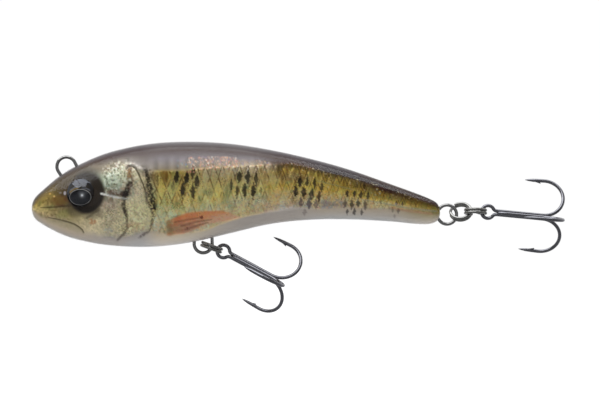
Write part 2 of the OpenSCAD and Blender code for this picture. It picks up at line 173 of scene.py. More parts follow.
# ------------------------------------------------------------------ mesh helpers
def facing(vertices, faces, direction):
    """Faces turned so that most of them look along direction."""
    a, b, c = (vertices[faces[:, k]] for k in range(3))
    total = np.cross(b - a, c - a).sum(0)
    return faces if total @ np.asarray(direction, float) > 0 else faces[:, ::-1]


def add_mesh(name, vertices, faces, body, slot, material, replaced, attributes=None):
    mesh = bpy.data.meshes.new(name)
    metres = (np.asarray(vertices, float) - TIE) / 1000.0
    mesh.from_pydata(metres.tolist(), [], [list(map(int, face)) for face in faces])
    mesh.update()
    mesh.polygons.foreach_set("use_smooth", [True] * len(mesh.polygons))
    for key, values in (attributes or {}).items():
        values = np.asarray(values, np.float32)
        if values.ndim == 2:
            layer = mesh.color_attributes.new(key, "FLOAT_COLOR", "POINT")
            rgba = np.ones((len(values), 4), np.float32)
            rgba[:, :3] = values
            layer.data.foreach_set("color", rgba.ravel())
        else:
            layer = mesh.attributes.new(key, "FLOAT", "POINT")
            layer.data.foreach_set("value", values)
    mesh.materials.append(material)
    thing = bpy.data.objects.new(name, mesh)
    scene.collection.objects.link(thing)
    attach(thing, body)
    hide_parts(replaced)


def grid_faces(rows, columns):
    i, j = np.meshgrid(np.arange(rows - 1), np.arange(columns - 1), indexing="ij")
    a = (i * columns + j).ravel()
    return np.stack([a, a + 1, a + columns + 1, a + columns], 1)


def ring_faces(rows, columns):
    """Faces of a grid whose columns close into a ring."""
    i, j = np.meshgrid(np.arange(rows - 1), np.arange(columns), indexing="ij")
    a, b = (i * columns + j).ravel(), (i * columns + (j + 1) % columns).ravel()
    return np.stack([a, b, b + columns, a + columns], 1)


def grid_normals(points, side):
    normals = np.cross(np.gradient(points, axis=0), np.gradient(points, axis=1))
    normals /= np.linalg.norm(normals, axis=2, keepdims=True) + 1e-12
    return normals * np.sign((normals[..., 1] * side).sum())


# ------------------------------------------------------------------ eye frame
EYE_X, EYE_Z = 14.7, 4.4
EYE_RADIUS = 4.05
EYE_PROUD = 0.1      # the frame's centre stands this far outside the flank
EYE_TOE_IN = 12      # degrees the eye turns about Z, towards the nose
EYE_TILT = 86        # degrees from Z to the eye's axis
SOCKET_DEPTHS = (-5, 3)    # only points between these heights in the eye frame are cut away


def flank_half_width(x, z):
    top, bottom, share = (np.interp(x, KNOTS[1:-1, 0], KNOTS[1:-1, k]) for k in (1, 2, 3))
    widest = bottom + WIDEST_SHARE * (top - bottom)
    rise = (z - widest) / (top - widest) if z > widest else (widest - z) / (widest - bottom)
    rounding = max(0, 1 - min(1, rise) ** ROUNDNESS) ** (1 / ROUNDNESS)
    return share * BODY_WIDTH / 2 * rounding


def eye_frame(side):
    """Centre and axes of an eye; the third axis points out of the body."""
    axes = turn(side * EYE_TOE_IN, "Z") @ turn(-side * EYE_TILT, "X")
    out = flank_half_width(EYE_X, EYE_Z) + EYE_PROUD
    return np.array([EYE_X, side * out, EYE_Z]), np.array(axes)


def open_eye(vertices, faces, side, hole_radius):
    """Cuts the eye socket and moves the cut's corners on to the socket circle.

    Returns the vertices, the faces, the kept vertex numbers and the rim in the eye frame."""
    centre, axes = eye_frame(side)
    local = (vertices - centre) @ axes
    radius = np.hypot(local[:, 0], local[:, 1])
    low, high = SOCKET_DEPTHS
    inside = (radius < hole_radius) & (local[:, 2] > low) & (local[:, 2] < high)
    face_inside = inside[faces]
    keep = ~face_inside.all(1)
    rim = np.unique(faces[keep][face_inside[keep]])
    local[rim, :2] *= (hole_radius / np.maximum(radius[rim], 1e-6))[:, None]
    vertices = vertices.copy()
    vertices[rim] = local[rim] @ axes.T + centre
    faces = faces[keep]
    used = np.unique(faces)
    index = np.full(len(vertices), -1)
    index[used] = np.arange(len(used))
    return vertices[used], index[faces], used, local[rim]


# ------------------------------------------------------------------ noise and paint helpers
def noise(x, y, size, seed):
    """Smooth value noise from 0 to 1 with cells of the given size (mm)."""
    grid = np.random.default_rng(seed).random((257, 257))
    x, y = x / size + 1000, y / size + 1000
    i, j = np.floor(x).astype(int), np.floor(y).astype(int)
    fx, fy = x - i, y - j
    fx, fy = fx * fx * (3 - 2 * fx), fy * fy * (3 - 2 * fy)
    i0, j0, i1, j1 = i % 257, j % 257, (i + 1) % 257, (j + 1) % 257
    return ((grid[i0, j0] * (1 - fx) + grid[i1, j0] * fx) * (1 - fy)
            + (grid[i0, j1] * (1 - fx) + grid[i1, j1] * fx) * fy)


def cell_random(i, j, seed):
    grid = np.random.default_rng(seed).random((131, 127))
    return grid[i.astype(int) % 131, j.astype(int) % 127]


def linear(hexa):
    """Linear RGB of an sRGB hex colour."""
    c = np.array([int(hexa[k:k + 2], 16) / 255 for k in (0, 2, 4)])
    return np.where(c <= 0.04045, c / 12.92, ((c + 0.055) / 1.055) ** 2.4)


def mix(colour, mask, paint, strength=1.0):
    """Lays paint, a hex colour or an array, over colour."""
    paint = linear(paint) if isinstance(paint, str) else paint
    mask = (mask * strength)[:, None]
    return colour * (1 - mask) + paint * mask


def segment_distance(x, z, start, end):
    """Distance from a segment, and how far along it the nearest place lies."""
    d = end - start
    t = np.clip(((x - start[0]) * d[0] + (z - start[1]) * d[1]) / (d @ d + 1e-9), 0, 1)
    return np.hypot(x - start[0] - t * d[0], z - start[1] - t * d[1]), t


def stroke(x, z, points, width, softness):
    """1 on a line through points, fading to 0 over softness; width may be one per point."""
    points = np.asarray(points, float)
    width = np.broadcast_to(np.asarray(width, float), (len(points),))
    margin = width.max() + softness * 2
    low, high = points.min(0) - margin, points.max(0) + margin
    near = (x > low[0]) & (x < high[0]) & (z > low[1]) & (z < high[1])
    best = np.zeros(near.sum())
    for k in range(len(points) - 1):
        distance, t = segment_distance(x[near], z[near], points[k], points[k + 1])
        local_width = width[k] * (1 - t) + width[k + 1] * t
        best = np.maximum(best, 1 - ramp(0, softness, distance - local_width / 2))
    mask = np.zeros_like(x)
    mask[near] = best
    return mask


def inside_polygon(x, z, corners, softness):
    corners = np.asarray(corners, float)
    inside = np.zeros(x.shape, bool)
    distance = np.full(x.shape, 1e9)
    for p, q in zip(corners, np.roll(corners, -1, axis=0)):
        crossing_x = (q[0] - p[0]) * (z - p[1]) / (q[1] - p[1] + 1e-12) + p[0]
        inside ^= ((p[1] > z) != (q[1] > z)) & (x < crossing_x)
        distance = np.minimum(distance, segment_distance(x, z, p, q)[0])
    return ramp(-softness, softness, np.where(inside, distance, -distance))


class Print:
    """Colour at the places x, z of a flat view, built up layer by layer.

    A mottle is (low, high, size, seed, x stretch, z stretch): noise faded in from low to high."""

    def __init__(self, x, z, colour):
        self.x, self.z, self.colour = x, z, colour

    def noise(self, size, seed, along=1, up=1):
        return noise(self.x * along, self.z * up, size, seed)

    def drift(self, size, seed, along=1, up=1):
        """Noise from -0.5 to 0.5."""
        return self.noise(size, seed, along, up) - 0.5

    def mottle(self, low, high, *noise_values):
        return ramp(low, high, self.noise(*noise_values))

    def blob(self, x, z, half_x, half_z, softness):
        d = (np.abs(self.x - x) / half_x) ** 2 + (np.abs(self.z - z) / half_z) ** 2
        return 1 - ramp(1 - softness, 1 + softness, d)

    def lay(self, mask, paint, strength=1.0, mottle=None):
        if mottle:
            mask = mask * self.mottle(*mottle)
        self.colour = mix(self.colour, mask, paint, strength)

    def shade(self, amount, channels=(1, 1, 1)):
        """Brightens by a share, or darkens where it is negative."""
        self.colour = self.colour * (1 + amount[:, None] * np.array(channels))

    def patches(self, rows, within=1):
        """Rows: x, z, half length, half height, softness, colour, strength, mottle if any."""
        for x, z, half_x, half_z, softness, *paint in rows:
            self.lay(self.blob(x, z, half_x, half_z, softness) * within, *paint)

    def lines(self, rows):
        """Rows: points, width, softness, colour, strength, mottle if any."""
        for points, width, softness, *paint in rows:
            self.lay(stroke(self.x, self.z, points, width, softness), *paint)


# ------------------------------------------------------------------ tables of the body print
# borders along the flank (x, z): where the dark back ends
BACK = np.array([
    [0.44, 1.03], [1.32, 2.49], [2.49, 3.67], [3.96, 4.84], [6.01, 6.6], [8.36, 8.07],
    [12.76, 10.42], [18.63, 13.2], [20.98, 13.94], [24.5, 14.73], [28.31, 15.55],
    [34.77, 16.28], [43.57, 16.78], [50.9, 16.87], [61.76, 15.99], [67.63, 15.23],
    [71.74, 14.38], [75.26, 13.76], [78.78, 13.06], [90.51, 10.06], [102.54, 6.72],
    [114.57, 2.2], [118.97, 0.73]])
# where the foil begins
FOIL = np.array([
    [0.44, 0.44], [1.32, 1.32], [2.49, 2.49], [3.96, 3.96], [6.01, 5.43], [8.36, 6.89],
    [12.76, 9.24], [18.63, 12.18], [20.98, 12.03], [24.5, 13.0], [28.31, 13.5],
    [31.25, 12.47], [33.59, 10.89], [37.7, 10.71], [44.45, 10.71], [49.44, 11.3],
    [59.71, 12.03], [67.63, 12.41], [72.91, 12.76], [75.84, 13.06], [78.78, 12.62],
    [87.43, 10.3], [90.51, 9.59], [102.54, 6.31], [110.47, 3.55], [114.57, 1.85],
    [118.97, 0.35]])
# where the pale belly begins
BELLY = np.array([
    [0.44, -1.03], [2.2, -2.64], [3.96, -3.96], [7.78, -5.6], [12.76, -7.36], [16.28, -8.22],
    [20.98, -8.89], [24.79, -9.36], [28.9, -8.66], [33.01, -7.42], [39.76, -7.66],
    [45.04, -7.54], [51.49, -6.48], [55.89, -4.67], [60.0, -3.26], [64.99, -2.02],
    [71.74, -0.85], [78.78, 0.03], [83.18, -0.38], [90.51, 0.09], [98.14, -0.32],
    [105.77, -0.56], [111.64, -1.14], [118.97, -1.76]])
THINNEST_BAND = 0.15     # the bands between two borders are never thinner than this

PAINTS = {
    "ink": "200808", "umber": "402010", "dark_olive": "504010", "bark": "483028",
    "dusk": "4c444c", "smoke": "584838", "olive": "887038", "slate": "6c686c",
    "lilac": "8c8488", "stone": "988c78", "brass": "b09848", "tan": "b8a078",
    "ash": "b0a8a0", "sand": "c0b098", "gold": "e0c058", "silver": "b8b8b8",
    "cream": "d0c0a0", "light_gold": "f0e088", "pearl": "d4ccc4", "straw": "ccb878",
    "khaki": "a89860", "parchment": "dcd0a8", "mint": "d0dcc0", "apricot": "f8dca0",
    "glint": "f8f0b8"}
# x along the body: paint at each level
# (level 0 upper edge, 1 back ends, 2 foil begins, 3 belly begins, 4 lower edge)
# painted reflection: between levels 1 and 2, from x 23.62 to 64.11, the pale paints stand for the
# overhead softboxes mirrored in the clear skin
PALETTE = {
    1.91: {0: "ink", 1: "dark_olive", 2: "olive", 2.2: "brass", 2.6: "straw", 2.8: "tan",
           3: "sand", 4: "ash"},
    10.12: {0: "dusk", 1: "smoke", 2: "dark_olive", 2.5: "smoke", 2.7: "khaki", 3: "sand",
            4: "ash"},
    23.62: {0: "dusk", 1: "bark", 2.05: "stone", 2.18: "mint", 2.25: "mint", 2.35: "stone",
            2.55: "sand", 2.7: "parchment", 2.92: "parchment", 3: "ash", 4: "ash"},
    31.25: {0: "dusk", 1: "bark", 2: "ash", 2.15: "parchment", 2.4: "cream", 2.6: "glint",
            2.9: "glint", 3: "ash", 4: "silver"},
    39.17: {0: "slate", 1: "bark", 1.4: "lilac", 1.88: "stone", 2.04: "brass",
            2.5: "light_gold", 2.8: "glint", 3: "cream", 4: "pearl"},
    64.11: {0: "slate", 1: "bark", 1.4: "lilac", 1.88: "sand", 2.04: "cream", 2.25: "straw",
            2.5: "light_gold", 2.7: "glint", 2.95: "apricot", 3.15: "ash", 4: "ash"},
    74.96: {0: "dusk", 1: "umber", 1.95: "umber", 2.08: "dark_olive", 2.18: "brass",
            2.3: "straw", 2.5: "gold", 2.8: "apricot", 3: "pearl", 3.2: "ash", 4: "ash"},
    89.05: {0: "dusk", 1: "ink", 2: "ink", 2.2: "brass", 2.5: "gold", 2.8: "apricot",
            3: "sand", 4: "silver"},
    103.72: {0: "bark", 1: "ink", 2: "ink", 2.15: "umber", 2.3: "olive", 2.5: "brass",
             2.6: "gold", 2.75: "apricot", 2.9: "apricot", 3: "sand", 4: "silver"},
    118.09: {0: "ink", 1: "umber", 2: "dark_olive", 2.5: "brass", 3: "khaki", 4: "pearl"}}

# scale lattice: x, number of scales along the body
SCALE_PHASE = np.array([
    [2.49, -14.5], [23.03, -6.9], [34.77, -2.75], [42.9, 0], [45.86, 1], [48.79, 2],
    [61.14, 7], [63.67, 8], [66.07, 9], [78.75, 14], [80.92, 15], [83.09, 16], [85.26, 17],
    [92.66, 20.5], [94.83, 21.5], [96.59, 22.5], [98.76, 23.5], [107.03, 28], [108.91, 29],
    [119.85, 36]])
# x, z of the reference row
SCALE_ROW_Z = np.array([
    [2.49, 8.07], [23.03, 8.95], [37.7, 9.1], [45.62, 8.66], [55.31, 8.77], [63.52, 8.8],
    [72.91, 8.07], [80.83, 7.19], [87.58, 6.89], [94.91, 6.69], [102.25, 5.9], [107.53, 5.11],
    [118.39, 2.79]])
# x, row spacing
SCALE_ROW_PITCH = np.array([
    [2.49, 3.52], [37.7, 3.61], [45.62, 3.67], [63.52, 3.81], [80.83, 2.93], [94.91, 2.73],
    [107.53, 1.97], [118.39, 1.47]])

# dark scale marks: x, z, half width, half height, strength, colour if not MARK_COLOUR
MARK_COLOUR = "231d16"
MARK_WIDEN, MARK_HEIGHTEN = 1.22, 1.34      # factors on the halves below
MARKS = [
    (47.56, 10.42, 0.73, 1.64, 0.85), (42.87, 8.95, 0.73, 1.82, 0.97),
    (45.74, 8.66, 0.76, 1.88, 0.97), (48.73, 7.63, 0.73, 1.88, 0.95),
    (41.78, 6.01, 0.56, 1.58, 0.55, "4a4a35"), (44.57, 5.05, 0.73, 2.0, 0.97),
    (47.56, 4.72, 0.73, 2.0, 0.95), (37.26, 7.78, 0.41, 1.76, 0.5, "33260f"),
    (61.14, 8.95, 0.76, 1.58, 0.92), (63.61, 8.86, 0.7, 1.7, 0.95),
    (66.04, 8.51, 0.65, 1.76, 0.9), (58.83, 6.75, 0.35, 1.64, 0.8),
    (60.47, 4.99, 0.5, 1.76, 0.88), (62.7, 5.08, 0.65, 1.76, 0.95),
    (65.11, 4.78, 0.7, 1.94, 0.97), (67.42, 4.99, 0.41, 1.17, 0.6),
    (63.99, 1.5, 0.35, 1.23, 0.5, "4d4436"), (78.75, 7.48, 0.65, 1.35, 0.95),
    (80.92, 7.31, 0.59, 1.35, 0.92), (83.09, 7.01, 0.56, 1.41, 0.92),
    (85.26, 6.13, 0.5, 1.41, 0.88), (77.57, 4.78, 0.76, 1.58, 0.97),
    (79.89, 4.49, 0.73, 1.53, 0.97), (82.21, 3.9, 0.73, 1.53, 0.95, "1a2620"),
    (84.41, 3.32, 0.56, 1.47, 0.9), (79.07, 1.38, 0.65, 1.41, 0.82, "5d5660"),
    (81.51, 0.94, 0.67, 1.53, 0.82, "5d5660"), (83.53, 1.03, 0.56, 1.35, 0.72, "5d5660"),
    (80.19, -1.44, 0.59, 0.88, 0.55, "6a5f5c"), (76.67, 2.32, 0.47, 1.17, 0.55, "4c4a35"),
    (92.66, 4.14, 0.56, 1.09, 0.92), (94.8, 3.99, 0.56, 1.11, 0.95),
    (96.65, 3.78, 0.56, 1.11, 0.95), (98.76, 3.32, 0.47, 1.06, 0.88),
    (91.95, 1.14, 0.56, 1.23, 0.75, "443f40"), (93.98, 0.97, 0.59, 1.29, 0.88, "332f30"),
    (95.85, 1.2, 0.59, 1.29, 0.88, "2c292b"), (97.97, 0.85, 0.56, 1.23, 0.78, "453d40"),
    (92.66, -1.17, 0.44, 0.82, 0.85, "3a3534"), (94.74, -1.29, 0.5, 0.88, 0.88, "3a3534"),
    (96.88, -1.47, 0.5, 0.82, 0.82, "453e3c"), (95.5, 6.78, 0.44, 1.17, 0.62, "3c2f12"),
    (97.56, 6.54, 0.35, 1.0, 0.5, "3c2f12"), (102.4, 1.85, 0.32, 0.7, 0.5, "3c2f12"),
    (107.06, 1.26, 0.41, 0.62, 0.85), (108.91, 1.11, 0.41, 0.65, 0.85),
    (106.01, -0.79, 0.38, 0.76, 0.55, "5c5048"), (107.74, -0.94, 0.41, 0.76, 0.72, "4a3f3c"),
    (106.62, -2.44, 0.38, 0.56, 0.5, "6a5c58")]

# scattered flakes: x from and to, level from and to, count, radius from and to,
# strength from and to, colours
FLAKE_SEED = 20
FLAKE_BANDS = [
    (45.92, 60.59, 1.35, 2.04, 230, 0.18, 0.42, 0.45, 0.92,
     "f0a88c eeb088 f8dabc f2c29c e8907a fff2e2 e2b8a0 b090a8 80685c"),
    (57.07, 70.56, 1.50, 2.04, 80, 0.18, 0.36, 0.35, 0.85,
     "cf9c80 d8b89a ab8880 c9a070 e2d6c8 9a8fae"),
    (42.4, 48.26, 1.45, 1.95, 18, 0.20, 0.40, 0.45, 0.80, "8ab0b8 b39ab8 b9d98a 6d86b0"),
    (44.74, 61.17, 1.97, 2.15, 40, 0.16, 0.34, 0.35, 0.80, "e2cf98 d9b47a e6dcb0 c99a6a"),
    (58.83, 91.98, 2.62, 3.00, 150, 0.16, 0.34, 0.30, 0.75,
     "d2b080 d6b68c cfae86 e2cfa6 c88a94"),
    (36.82, 42.4, 2.45, 3.05, 34, 0.14, 0.40, 0.25, 0.55,
     "d2b080 cfae86 7fa894 5e8f78 8fae8a"),
    (85.23, 108.12, 2.15, 2.85, 46, 0.16, 0.42, 0.35, 0.85, "c9a24a d8b24c d6ac58 d9d4c0")]

# Tables named PATCHES and LINES have the columns given in Print.patches and Print.lines.
OCHRE_PATCHES = [(39.46, 8.66, 4.11, 2.64, 0.6, "6a4314", 0.55, (0.3, 0.6, 1.2, 28, 1, 0.25))]
COPPER_PATCHES = [(77.6, 10.42, 4.69, 2.93, 0.7, "5a3a1c", 0.60, (0.4, 0.7, 1.0, 29, 1, 0.5))]
BLUE_PATCHES = [(87.58, 1.03, 4.69, 1.61, 0.7, "8f93a0", 0.55, (0.3, 0.6, 0.7, 30))]
LATERAL_LINES = [
    ([(84.06, 7.78), (89.05, 6.6), (94.33, 5.25)], 0.16, 0.22, "a5a06a", 0.65),
    ([(96.68, 2.41), (103.72, 1.09), (110.64, -0.21), (118.77, -1.09)],
     [0.12, 0.2, 0.3, 0.36], 0.25, "b7b08c", 0.7),
    ([(105.77, 0.0), (110.47, -0.97), (117.51, -1.85)], [0.1, 0.35, 0.2], 0.5, "c08c74", 0.45)]

CHEEK_CORNERS = [
    (21.12, 11.59), (23.03, 12.91), (25.97, 13.64), (29.19, 14.08), (32.71, 13.06),
    (33.89, 9.54), (34.77, 5.13), (35.06, -2.2), (34.47, -6.6), (28.31, -8.66), (20.1, -7.78),
    (14.82, -6.01), (13.35, -3.96), (15.99, -1.76), (19.8, -0.44), (21.56, 3.37), (21.27, 7.48)]
CHEEK_PATCHES = [
    (25.38, -1.91, 9.98, 4.99, 0.8, "c4a88c", 0.45, (0.55, 0.80, 0.33, 44)),
    (25.38, -1.91, 9.98, 4.99, 0.8, "5f5640", 0.30, (0.58, 0.80, 0.31, 45)),
    (25.97, 5.72, 7.63, 3.52, 0.8, "8fae9c", 0.4, (0.55, 0.8, 0.7, 46))]
LOW_CHEEK_PATCHES = [
    (18.19, -4.11, 1.17, 0.88, 0.7, "b8703f", 0.6, (0.3, 0.6, 0.5, 47)),
    (23.03, -6.89, 1.76, 1.03, 0.9, "a5adae", 0.5, (0.35, 0.65, 0.4, 69)),
    (30.66, -5.72, 3.52, 1.47, 0.7, "c49a78", 0.5, (0.3, 0.7, 0.6, 48))]
SNOUT_PATCHES = [(8.36, 1.91, 2.64, 1.47, 0.8, "7a4a12", 0.5)]
# gold dots, the first two painted highlights and the other two specks: x, z, radius, colour
SNOUT_SPECKS_AND_GLINTS = [(5.6, 4.08, 0.42, "e0b45a"), (6.87, 3.32, 0.42, "ecc673"),
              (4.69, 2.64, 0.25, "c9a25c"), (12.32, -1.85, 0.32, "b9a06a")]
SOCKET_PATCHES = [
    (13.35, -1.03, 2.64, 1.91, 0.8, "4a4230", 0.60),
    (18.34, -1.76, 2.93, 1.61, 0.8, "5e5644", 0.60),
    (16.37, 4.25, 5.43, 6.16, 0.24, "1c1511", 0.99),
    (16.87, 6.01, 4.55, 5.57, 0.5, "2c2217", 0.75),
    (10.71, 6.89, 3.52, 2.64, 0.8, "4b3a22", 0.6)]

UPPER_MOUTH = [(2.79, -0.09), (5.43, 0.03), (8.36, 0.21), (11.88, 0.44)]
LOWER_MOUTH = [(5.13, -3.08), (7.19, -3.43), (9.1, -3.87), (11.0, -4.37), (12.76, -4.96),
               (14.08, -5.78), (15.11, -6.66), (15.46, -7.48)]
MOUTH_LINES = [
    (UPPER_MOUTH, [0.06, 0.12, 0.16, 0.22], 0.28, "4a3c1e", 0.75),
    (LOWER_MOUTH, [0.05, 0.10, 0.18, 0.24, 0.24, 0.26, 0.22, 0.08], 0.30, "4a4128", 0.80),
    ([(5.43, -3.81), (8.95, -4.67), (11.88, -5.6), (13.94, -6.75)], 0.5, 1.0, "a39c7c", 0.35),
    ([(16.58, -3.08), (17.75, -2.32), (19.22, -1.32), (20.39, -0.32)], 0.2, 0.5,
     "4d4430", 0.55)]

# gill cover: front stripe, thin hooked edge, dark speckled bar, lower edge
GILL_FRONT = [(29.05, 11.74), (29.19, 9.54), (29.28, 7.19), (27.87, 4.11), (27.37, 2.2),
              (27.32, 0.15), (28.25, -2.49), (28.37, -6.01), (27.14, -7.92), (25.38, -9.65)]
GILL_HOOK = [(28.14, 11.41), (28.69, 12.06), (29.66, 12.29), (30.78, 11.53), (31.6, 10.12),
             (32.3, 8.51), (33.01, 6.89), (33.59, 5.13), (33.89, 3.37), (34.06, 1.03)]
GILL_BAR = [(33.83, 11.0), (34.42, 8.66), (34.94, 6.31), (35.41, 3.96), (35.82, 1.61),
            (36.12, -0.44)]
GILL_EDGE = [(33.95, 4.55), (34.12, 2.2), (34.91, 0.29), (35.82, -0.44), (35.88, -2.49),
             (35.44, -5.13), (34.62, -6.89), (33.15, -8.07), (31.69, -8.86)]
GILL_FRONT_LINES = [
    (GILL_FRONT[:4], [0.8, 1.1, 1.0, 0.9], 0.7, "5a3f30", 0.75, (0.15, 0.5, 0.42, 61)),
    (GILL_FRONT[2:7], [0.6, 1.1, 0.8, 0.7, 0.3], 0.6, "2a201b", 0.85, (0.12, 0.42, 0.40, 62)),
    (GILL_FRONT[5:], [0.45, 0.30, 0.25, 0.3, 0.2], 0.45, "4c4038", 0.62)]
GILL_PATCHES = [
    (27.7, 3.96, 1.35, 1.0, 0.4, "1f1815", 0.85, (0.1, 0.4, 0.4, 63)),
    (28.9, 9.98, 0.76, 1.47, 0.8, "ab8356", 0.55, (0.25, 0.6, 0.35, 68)),
    (29.78, 5.72, 0.73, 2.35, 0.7, "5d4d55", 0.45, (0.3, 0.6, 0.52, 22))]
GILL_REAR_LINES = [
    (GILL_HOOK, [0.08, 0.14, 0.2, 0.24, 0.22, 0.2, 0.18, 0.16, 0.12, 0.05], 0.26,
     "3d3522", 0.85),
    ([(32.86, 11.3), (34.47, 10.42), (35.5, 9.24)], 1.1, 1.0, "5b4a2a", 0.6,
     (0.35, 0.7, 0.5, 64)),
    (GILL_BAR, [0.35, 0.60, 0.95, 1.30, 1.30, 0.8], 0.6, "1b1510", 0.90,
     (0.22, 0.50, 0.30, 65)),
    (GILL_BAR, [1.1, 1.4, 1.7, 1.9, 1.9, 1.3], 1.2, "2a2117", 0.72, (0.44, 0.66, 0.32, 66)),
    (GILL_EDGE, [0.2, 0.25, 0.35, 0.4, 0.35, 0.4, 0.45, 0.4, 0.15], 0.45, "4a3d3c", 0.75,
     (0.10, 0.45, 0.30, 65)),
    ([(33.12, 3.96), (33.45, 1.32), (34.33, -1.03), (34.62, -3.37), (34.03, -5.43)], 0.7, 0.9,
     "c5c09c", 0.35)]
# painted highlight: a white streak running back from the eye (the first two lines), with a dark
# line below it and a dark reddish band above
HIGHLIGHT_STREAK_LINES = [
    ([(20.8, 4.08), (23.62, 3.43), (26.32, 2.79)], [0.30, 0.34, 0.26], 0.26, "f6f4ee", 0.95),
    ([(26.32, 2.79), (29.49, 2.55)], [0.22, 0.05], 0.26, "cfd6cc", 0.6),
    ([(20.68, 2.79), (24.21, 2.05)], 0.3, 0.5, "2a211a", 0.35),
    ([(23.62, 4.2), (26.26, 4.02)], 0.9, 0.8, "5a3b36", 0.55)]
GLINT_PATCHES = [(10.09, 4.25, 0.38, 0.56, 0.6, "cfc8ce", 0.70),
                 (8.71, 4.37, 0.44, 0.26, 0.6, "9a8f86", 0.55)]
# grooves pressed into the relief: points, width, softness, depth
GROOVES = [
    (UPPER_MOUTH, 0.12, 0.45, 0.16), (LOWER_MOUTH, 0.14, 0.55, 0.20),
    (GILL_HOOK, 0.12, 0.5, 0.14), (GILL_FRONT[5:], 0.10, 0.5, 0.12),
    (GILL_EDGE, 0.2, 0.6, 0.14)]

FIN_CORNERS = [
    (39.93, -3.96), (42.4, -2.93), (45.71, -1.61), (50.49, -1.09), (55.54, -0.85),
    (58.53, -1.56), (61.32, -2.96), (58.24, -3.73), (55.31, -4.25), (51.61, -4.96),
    (48.85, -6.19), (46.01, -7.31), (42.98, -7.95), (39.9, -8.36)]
FIN_ROOT_X, FIN_TIP_X = 40.05, 61.17
FIN_ROOT_Z, FIN_TIP_Z = -7.48, -2.79       # lower side of the fin's colour blend
FIN_SPOT_PATCHES = [(50.08, -2.9, 0.53, 0.47, 0.6, "5c2118", 0.8)]
FIN_RAYS = [[(42.4, -4.25), (46.5, -3.52), (49.44, -3.02)],
            [(44.16, -5.43), (48.26, -4.25), (52.96, -3.55)],
            [(45.33, -6.45), (48.85, -5.31), (51.79, -4.43)]]
FIN_RAY_LINES = [(ray, [0.25, 0.3, 0.05], 0.35, "7a4230", 0.5) for ray in FIN_RAYS]
FIN_SHADE_PATCHES = [(44.74, -6.01, 4.11, 1.61, 0.7, "7c5a50", 0.30)]
FIN_ROOT_LINES = [([(40.34, -4.25), (40.75, -7.48)], 0.5, 1.4, "6f5426", 0.45)]


# ------------------------------------------------------------------ painting the body print
def borders(x):
    return [smooth_interp(x, table) for table in (BACK, FOIL, BELLY)]


def levels(x, z):
    """Level from 0 to 4 down the flank, and the heights where foil and belly begin."""
    top = np.interp(x, OUTLINE_X, OUTLINE_TOP)
    bottom = np.interp(x, OUTLINE_X, OUTLINE_BOTTOM)
    back, foil, belly = borders(x)
    back = np.minimum(back, top - THINNEST_BAND)
    foil = np.minimum(foil, back - THINNEST_BAND)
    belly = np.clip(belly, bottom + THINNEST_BAND, foil - THINNEST_BAND)
    below = 3 + (belly - z) / np.maximum(belly - bottom, 0.1)
    level = np.where(z > belly, 2 + (foil - z) / (foil - belly), below)
    level = np.where(z > foil, 1 + (back - z) / (back - foil), level)
    level = np.where(z > back, (top - z) / (top - back), level)
    return np.clip(level, 0, 4), foil, belly


def base_colour(x, level):
    colours = []
    for stops in PALETTE.values():
        channels = np.array([linear(PAINTS[paint]) for paint in stops.values()]).T
        colours.append(np.stack([np.interp(level, list(stops), c) for c in channels], 1))
    colours = np.array(colours)
    xs = np.array(list(PALETTE))
    i = np.clip(np.searchsorted(xs, x) - 1, 0, len(xs) - 2)
    t = ramp(xs[i], xs[i + 1], x)[:, None]
    row = np.arange(len(x))
    return colours[i, row] * (1 - t) + colours[i + 1, row] * t


class BodyPrint(Print):
    """The print of a flank with painted light laid over it, with its roughness, its relief (mm)
    and masks for its zones.
    """

    def __init__(self, x, z):
        super().__init__(x, z, None)
        self.level, self.foil_top, belly = levels(x, z)
        level, foil_top = self.level, self.foil_top
        wobble = self.drift(size=1.1, seed=3) * 0.035 * (level > 2.1) * (level < 3.9)
        self.colour = base_colour(x, np.clip(level + wobble, 0, 4))
        self.behind_head = ramp(34.18, 35.94, x)
        self.foil = (ramp(34.77, 36.53, x)
                     * window(z, belly - 0.5, belly + 0.4, foil_top - 0.1, foil_top + 0.25))
        # the zone that flashes: the foil and the cheek
        self.flash = (window(x, 20.1, 22.45, 118.68, 119.85)
                      * window(z, belly - 0.6, belly + 0.9, foil_top - 0.2, foil_top + 0.6))
        self.phase = np.interp(x, *SCALE_PHASE.T)
        self.relief = np.zeros_like(x)
        self.rough = 0.42 + 0.10 * self.drift(size=2.0, seed=4)


def paint_back(coat):
    """Upright flutes in the lighter band above the foil, a painted reflection of the overhead
    softboxes, then a soft lengthwise drift.
    """
    level = coat.level
    # painted reflection: the lighter band between back and foil, rippled by upright flutes
    reflection_band = window(level, 0.85, 1.25, 1.9, 2.02) * window(coat.x, 22.45, 27.43, 72.91, 77.6)
    wave = np.cos(2 * np.pi * coat.phase)
    flute = reflection_band * (0.6 * coat.drift(size=0.9, seed=5, up=0.12) - 0.22 * wave)
    coat.shade(ramp(1.1, 1.7, level) * flute * 0.62)
    coat.relief += flute * 0.02
    back = 1 - ramp(0.6, 1.6, level)
    coat.shade(back * coat.drift(size=2.2, seed=6, along=0.4) * 0.07)


